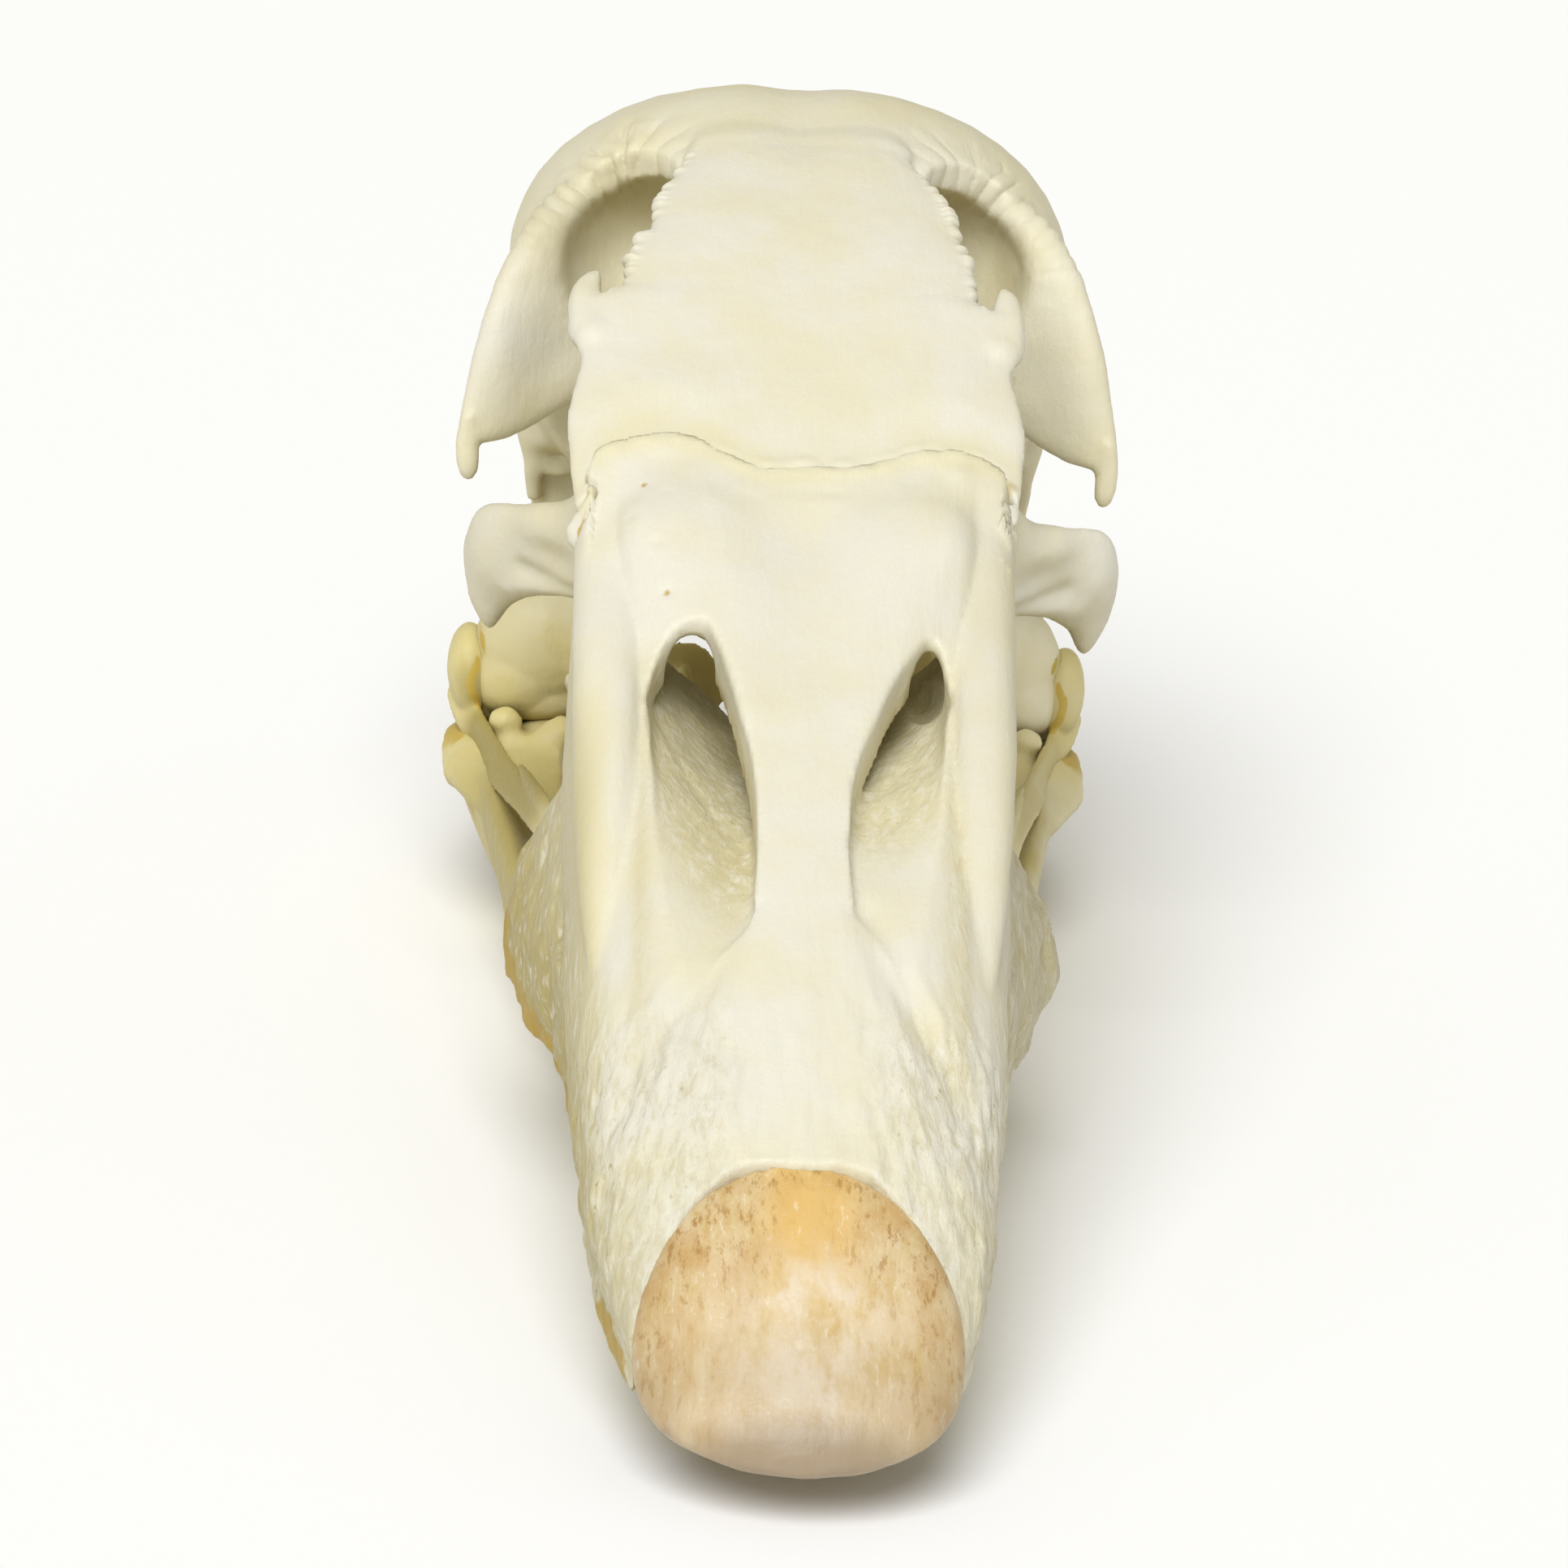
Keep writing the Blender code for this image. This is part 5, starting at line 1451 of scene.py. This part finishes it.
def nail_tones(points):
    """An orange band down the middle, stained above and at the sides, with painted grey shade towards the
    tip, at the sides and along the lower edge, and a dark crack line.
    """
    x, y, _ = points.T
    edge = step_up(np.abs(x) / (NAIL_WIDTH / 2), 0.45, 0.95)
    band_top = np.exp(-((x - 0.4) / 1.8) ** 2) * step_up(-y, 46.2, 47.2)
    crack = ((-6.6, -58.6, -30.9), (-4.4, -59.8, -31.6), (-2.0, -60.5, -31.9))
    return {
        "warmth": np.exp(-((x - 0.4) / 2.6) ** 4) * step_up(y, -56.0, -49.0),
        "stain": 0.25 + 0.6 * step_up(y, -55.0, -49.0) + 0.55 * edge - 0.8 * band_top,
        "porous": np.exp(-((x - 0.8) / 4.8) ** 2) * step_up(-y, 49.0, 54.0),
        # Painted shade towards the tip, at the sides and along the lower edge, and a dark line along a crack.
        "dingy": 0.34 * step_up(-y, 53.5, 59.0) + 0.25 * edge ** 2 + 0.6 * step_up(-y, 59.2, 61.0)
                 + 0.5 * along(points, crack, 0.3),
    }


def palatine_tones(points):
    """Warm, with a little painted shade all over."""
    return {"warmth": 1.0, "dingy": 0.15}


def lacrimal_tones(points):
    """Painted shade on the skull's right side."""
    return {"dingy": 0.22 * on_right(points)}


# What is painted on each bone. A bone that isn't named here stays plain.
# The last mask is painted shade: where a bone is darkened to stand for the shade that falls on it.
MASKS = ("warmth", "stain", "porous", "dingy")
TONES = {
    "cranium": cranium_tones, "upper_bill": bill_tones, "nail": nail_tones, "mandible": mandible_tones,
    "jugal": jugal_tones, "quadrate": quadrate_tones, "palatine": palatine_tones,
    "lacrimal": lacrimal_tones,
}


def paint_tones(thing, node):
    """Paint how warm, stained and porous each place of a bone is, and how much shade is painted on it, from 0
    to 1.
    """
    points = vertex_points(thing)
    kind = node.removesuffix("_left").removesuffix("_right")
    given = TONES[kind](points) if kind in TONES else {}
    for mask in MASKS:
        paint(thing, mask, np.clip(given.get(mask, 0.0) + np.zeros(len(points)), 0.0, 1.0))


def store_places(thing):
    """Keep each vertex's place in the skull's own axes, for the materials."""
    layer = thing.data.attributes.new("skull_mm", "FLOAT_VECTOR", "POINT")
    layer.data.foreach_set("vector", vertex_points(thing).astype(np.float32).ravel())


def set_in_frame(thing, node, finish):
    """Stand a finished bone in the frame in place of its node."""
    store_places(thing)
    paint_tones(thing, node)
    thing.data.transform(to_frame)
    move(thing, np.clip(vertex_points(thing), *FRAME_BOX))
    thing.data.materials.clear()
    thing.data.materials.append(finish)
    thing.data.shade_smooth()
    thing.name = node + "_bone"
    thing.data.name = thing.name
    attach(thing, "root")
    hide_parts(node)


def open_air(name, points):
    """Where light from all round reaches a hollow, from 0 to 1."""
    x, y, z = np.abs(points[:, 0]), points[:, 1], points[:, 2]
    if name == "cranium":
        return 0.85 * within(x, 13.5, 19.0, 1.5) * within(y, 23.5, 29.0, 2.0) * within(z, -9.5, 0.0, 2.0)
    return {"palatine_right": 0.9, "quadrate_left": 0.6}.get(name, 0.0) * np.ones(len(points))


# How the hollows are felt for, in millimetres where it is a length.
FEELERS = 20
FEELER_REACH = 14.0
FEELER_LIFT = 0.3
FEELER_SPOTS = 5000           # on each bone, about


def feelers():
    """Directions spread evenly over the half dome above a surface."""
    spread = []
    for index in range(FEELERS):
        rise = math.sqrt((index + 0.5) / FEELERS)
        turn = index * math.pi * (3.0 - math.sqrt(5.0))
        spread.append(Vector((math.cos(turn) * rise, math.sin(turn) * rise, math.sqrt(1.0 - rise * rise))))
    return spread


def everything(bones):
    """All bones in one tree that rays can be cast at."""
    corners, faces = [], []
    for thing in bones.values():
        first = len(corners)
        corners += [tuple(point) for point in vertex_points(thing)]
        faces += [tuple(first + index for index in face.vertices) for face in thing.data.polygons]
    return BVHTree.FromPolygons(corners, faces)


def closed_in(thing, tree, spread):
    """The share of feelers that meet bone, felt at some vertices and carried to all."""
    verts = thing.data.vertices
    chosen = range(0, len(verts), max(1, len(verts) // FEELER_SPOTS))
    sample = KDTree(len(chosen))
    shares = []
    for number, index in enumerate(chosen):
        vert = verts[index]
        sample.insert(vert.co, number)
        turn = vert.normal.to_track_quat("Z", "Y")
        start = vert.co + vert.normal * FEELER_LIFT
        hits = sum(1 for ray in spread if tree.ray_cast(start, turn @ ray, FEELER_REACH)[0] is not None)
        shares.append(hits / FEELERS)
    sample.balance()
    return np.array([shares[sample.find(vert.co)[1]] for vert in verts])


def hollows(bones):
    """Paint shade by how closed in each vertex lies, from 0 in the open to 1 in a deep hollow or underneath;
    the bone is darkened by it as painted shade.
    """
    tree, spread = everything(bones), feelers()
    for name, thing in bones.items():
        values = closed_in(thing, tree, spread)
        mean = averaging(thing)
        for _ in range(12):
            values = 0.5 * values + 0.5 * mean(values)
        # Undersides are darkened too, as painted shade.
        below = step_up(-vertex_normals(thing)[:, 2], -0.15, 0.85)
        shade = np.maximum(0.85 * step_up(values, 0.52, 1.0), 0.8 * below)
        paint(thing, "hollow", shade * (1.0 - open_air(name, vertex_points(thing))))


def camera():
    """The camera at the photograph's angle."""
    out = Vector((math.sin(CAMERA_TURN) * math.cos(CAMERA_RISE),
                  -math.cos(CAMERA_TURN) * math.cos(CAMERA_RISE), math.sin(CAMERA_RISE)))
    right = Vector((math.cos(CAMERA_TURN), math.sin(CAMERA_TURN), 0.0))
    up = out.cross(right)
    cosine, sine = math.cos(CAMERA_ROLL), math.sin(CAMERA_ROLL)
    right, up = cosine * right + sine * up, cosine * up - sine * right
    place = Vector(CAMERA_AIM) + out * CAMERA_DISTANCE
    turn = Matrix((right, up, out)).transposed().to_4x4()
    data = bpy.data.cameras.new("camera")
    data.sensor_width = 36.0
    data.lens = CAMERA_LENS
    data.clip_start = 0.01
    eye = bpy.data.objects.new("camera", data)
    bpy.context.scene.collection.objects.link(eye)
    stance = to_frame @ Matrix.Scale(1.0 / MM, 4)
    eye.matrix_world = stance @ Matrix.Translation(place * MM) @ turn
    bpy.context.scene.camera = eye


# The studio. Each colour is red, green and blue.
FLOOR_COLOUR = (0.97, 0.98, 1.0)
FLOOR_SIZE = 6.0              # metres
SKY_COLOUR = (1.0, 0.95, 0.81)
SKY_STRENGTH = 0.37
SUN_COLOUR = (0.98, 0.99, 1.0)
SUN_STRENGTH = 2.76
SUN_SPREAD = math.radians(40.0)
SUN_PLACE = (-0.20, -0.82, 1.0)       # the way to it: high, in front and a little to the skull's right


def studio():
    """A pale floor, an even warm sky and one broad soft sun, like a large softbox far away."""
    bpy.ops.mesh.primitive_plane_add(size=FLOOR_SIZE, location=(0.0, 0.0, 0.0))
    floor = bpy.context.object
    floor.name = "floor"
    white = bpy.data.materials.new("floor_white")
    white.use_nodes = True
    shader = white.node_tree.nodes["Principled BSDF"]
    shader.inputs["Base Color"].default_value = (*FLOOR_COLOUR, 1.0)
    shader.inputs["Roughness"].default_value = 0.9
    floor.data.materials.append(white)
    world = bpy.data.worlds.new("studio")
    world.use_nodes = True
    sky = world.node_tree.nodes["Background"]
    sky.inputs["Color"].default_value = (*SKY_COLOUR, 1.0)
    sky.inputs["Strength"].default_value = SKY_STRENGTH
    bpy.context.scene.world = world
    light = bpy.data.lights.new("key", "SUN")
    light.energy = SUN_STRENGTH
    light.angle = SUN_SPREAD
    light.color = SUN_COLOUR
    sun = bpy.data.objects.new("key", light)
    sun.rotation_euler = (-Vector(SUN_PLACE)).to_track_quat("-Z", "Y").to_euler()
    bpy.context.scene.collection.objects.link(sun)
    bpy.context.scene.view_settings.view_transform = "Standard"


def finished_cranium():
    """The cranium with all its modelling."""
    thing = cranium()
    soften(thing, crease_weights, 40)
    for line, reach in ((SOCKET_RIM, 3.0), (SOCKET_MARGIN, 1.1)):
        for side in SIDES:
            refine(thing, near_path(flipped(side, line), reach))
    for stroke in (cranium_stroke, rim_lumps, margin_teeth):
        sculpt(thing, stroke)
    level_hinge(thing, front=False)
    sculpt(thing, lip_meeting)
    slim_left(thing)
    return thing


def finished_bill():
    """The upper bill with all its modelling."""
    thing = upper_bill()
    for path in HINGE_ENDS:
        refine(thing, near_path(path, 1.2))
    sculpt(thing, bill_stroke)
    level_hinge(thing, front=True)
    sculpt(thing, hinge_lip)
    sculpt(thing, nail_rim)
    slim_left(thing)
    return thing


def skull_bones():
    """Every bone, modelled in the skull's own axes, by the name of the node it replaces."""
    bones = {"cranium": finished_cranium(), "upper_bill": finished_bill(), "nail": nail()}
    sculpt(bones["nail"], nail_stroke)
    bones["mandible"], bones["vomer"] = mandible(), vomer()
    for thing in (bones["mandible"], bones["vomer"]):
        sculpt(thing, bone_stroke)
    # The screens of the two palatines reach different heights.
    bones["palatine_left"], bones["palatine_right"] = palatine(1, -13.2), palatine(-1, -14.3)
    for name, make, stroke in (("lacrimal", lacrimal, lacrimal_stroke), ("quadrate", quadrate, bone_stroke),
                               ("jugal", jugal, bone_stroke), ("pterygoid", pterygoid, bone_stroke)):
        left = make()
        right = other_side(left)
        bpy.context.scene.collection.objects.link(right)
        for side, thing in (("_left", left), ("_right", right)):
            sculpt(thing, stroke)
            bones[name + side] = thing
    return bones


def main():
    """Make the bones, finish them and set them in the frame, under the camera and the light."""
    bones = skull_bones()
    hollows(bones)
    groups = grain_group(), tint_group()
    finishes = {"bone": bone_material("ivory_bone", groups, IVORY),
                "deep_bone": bone_material("yellow_bone", groups, YELLOW), "horn": nail_material()}
    for row in frame["record"]["subparts"]:
        name, slot = row["node"], row["material_slot"]
        if name.startswith("jugal"):
            slot = "deep_bone"
        set_in_frame(bones[name], name, finishes[slot])
    camera()
    studio()


main()
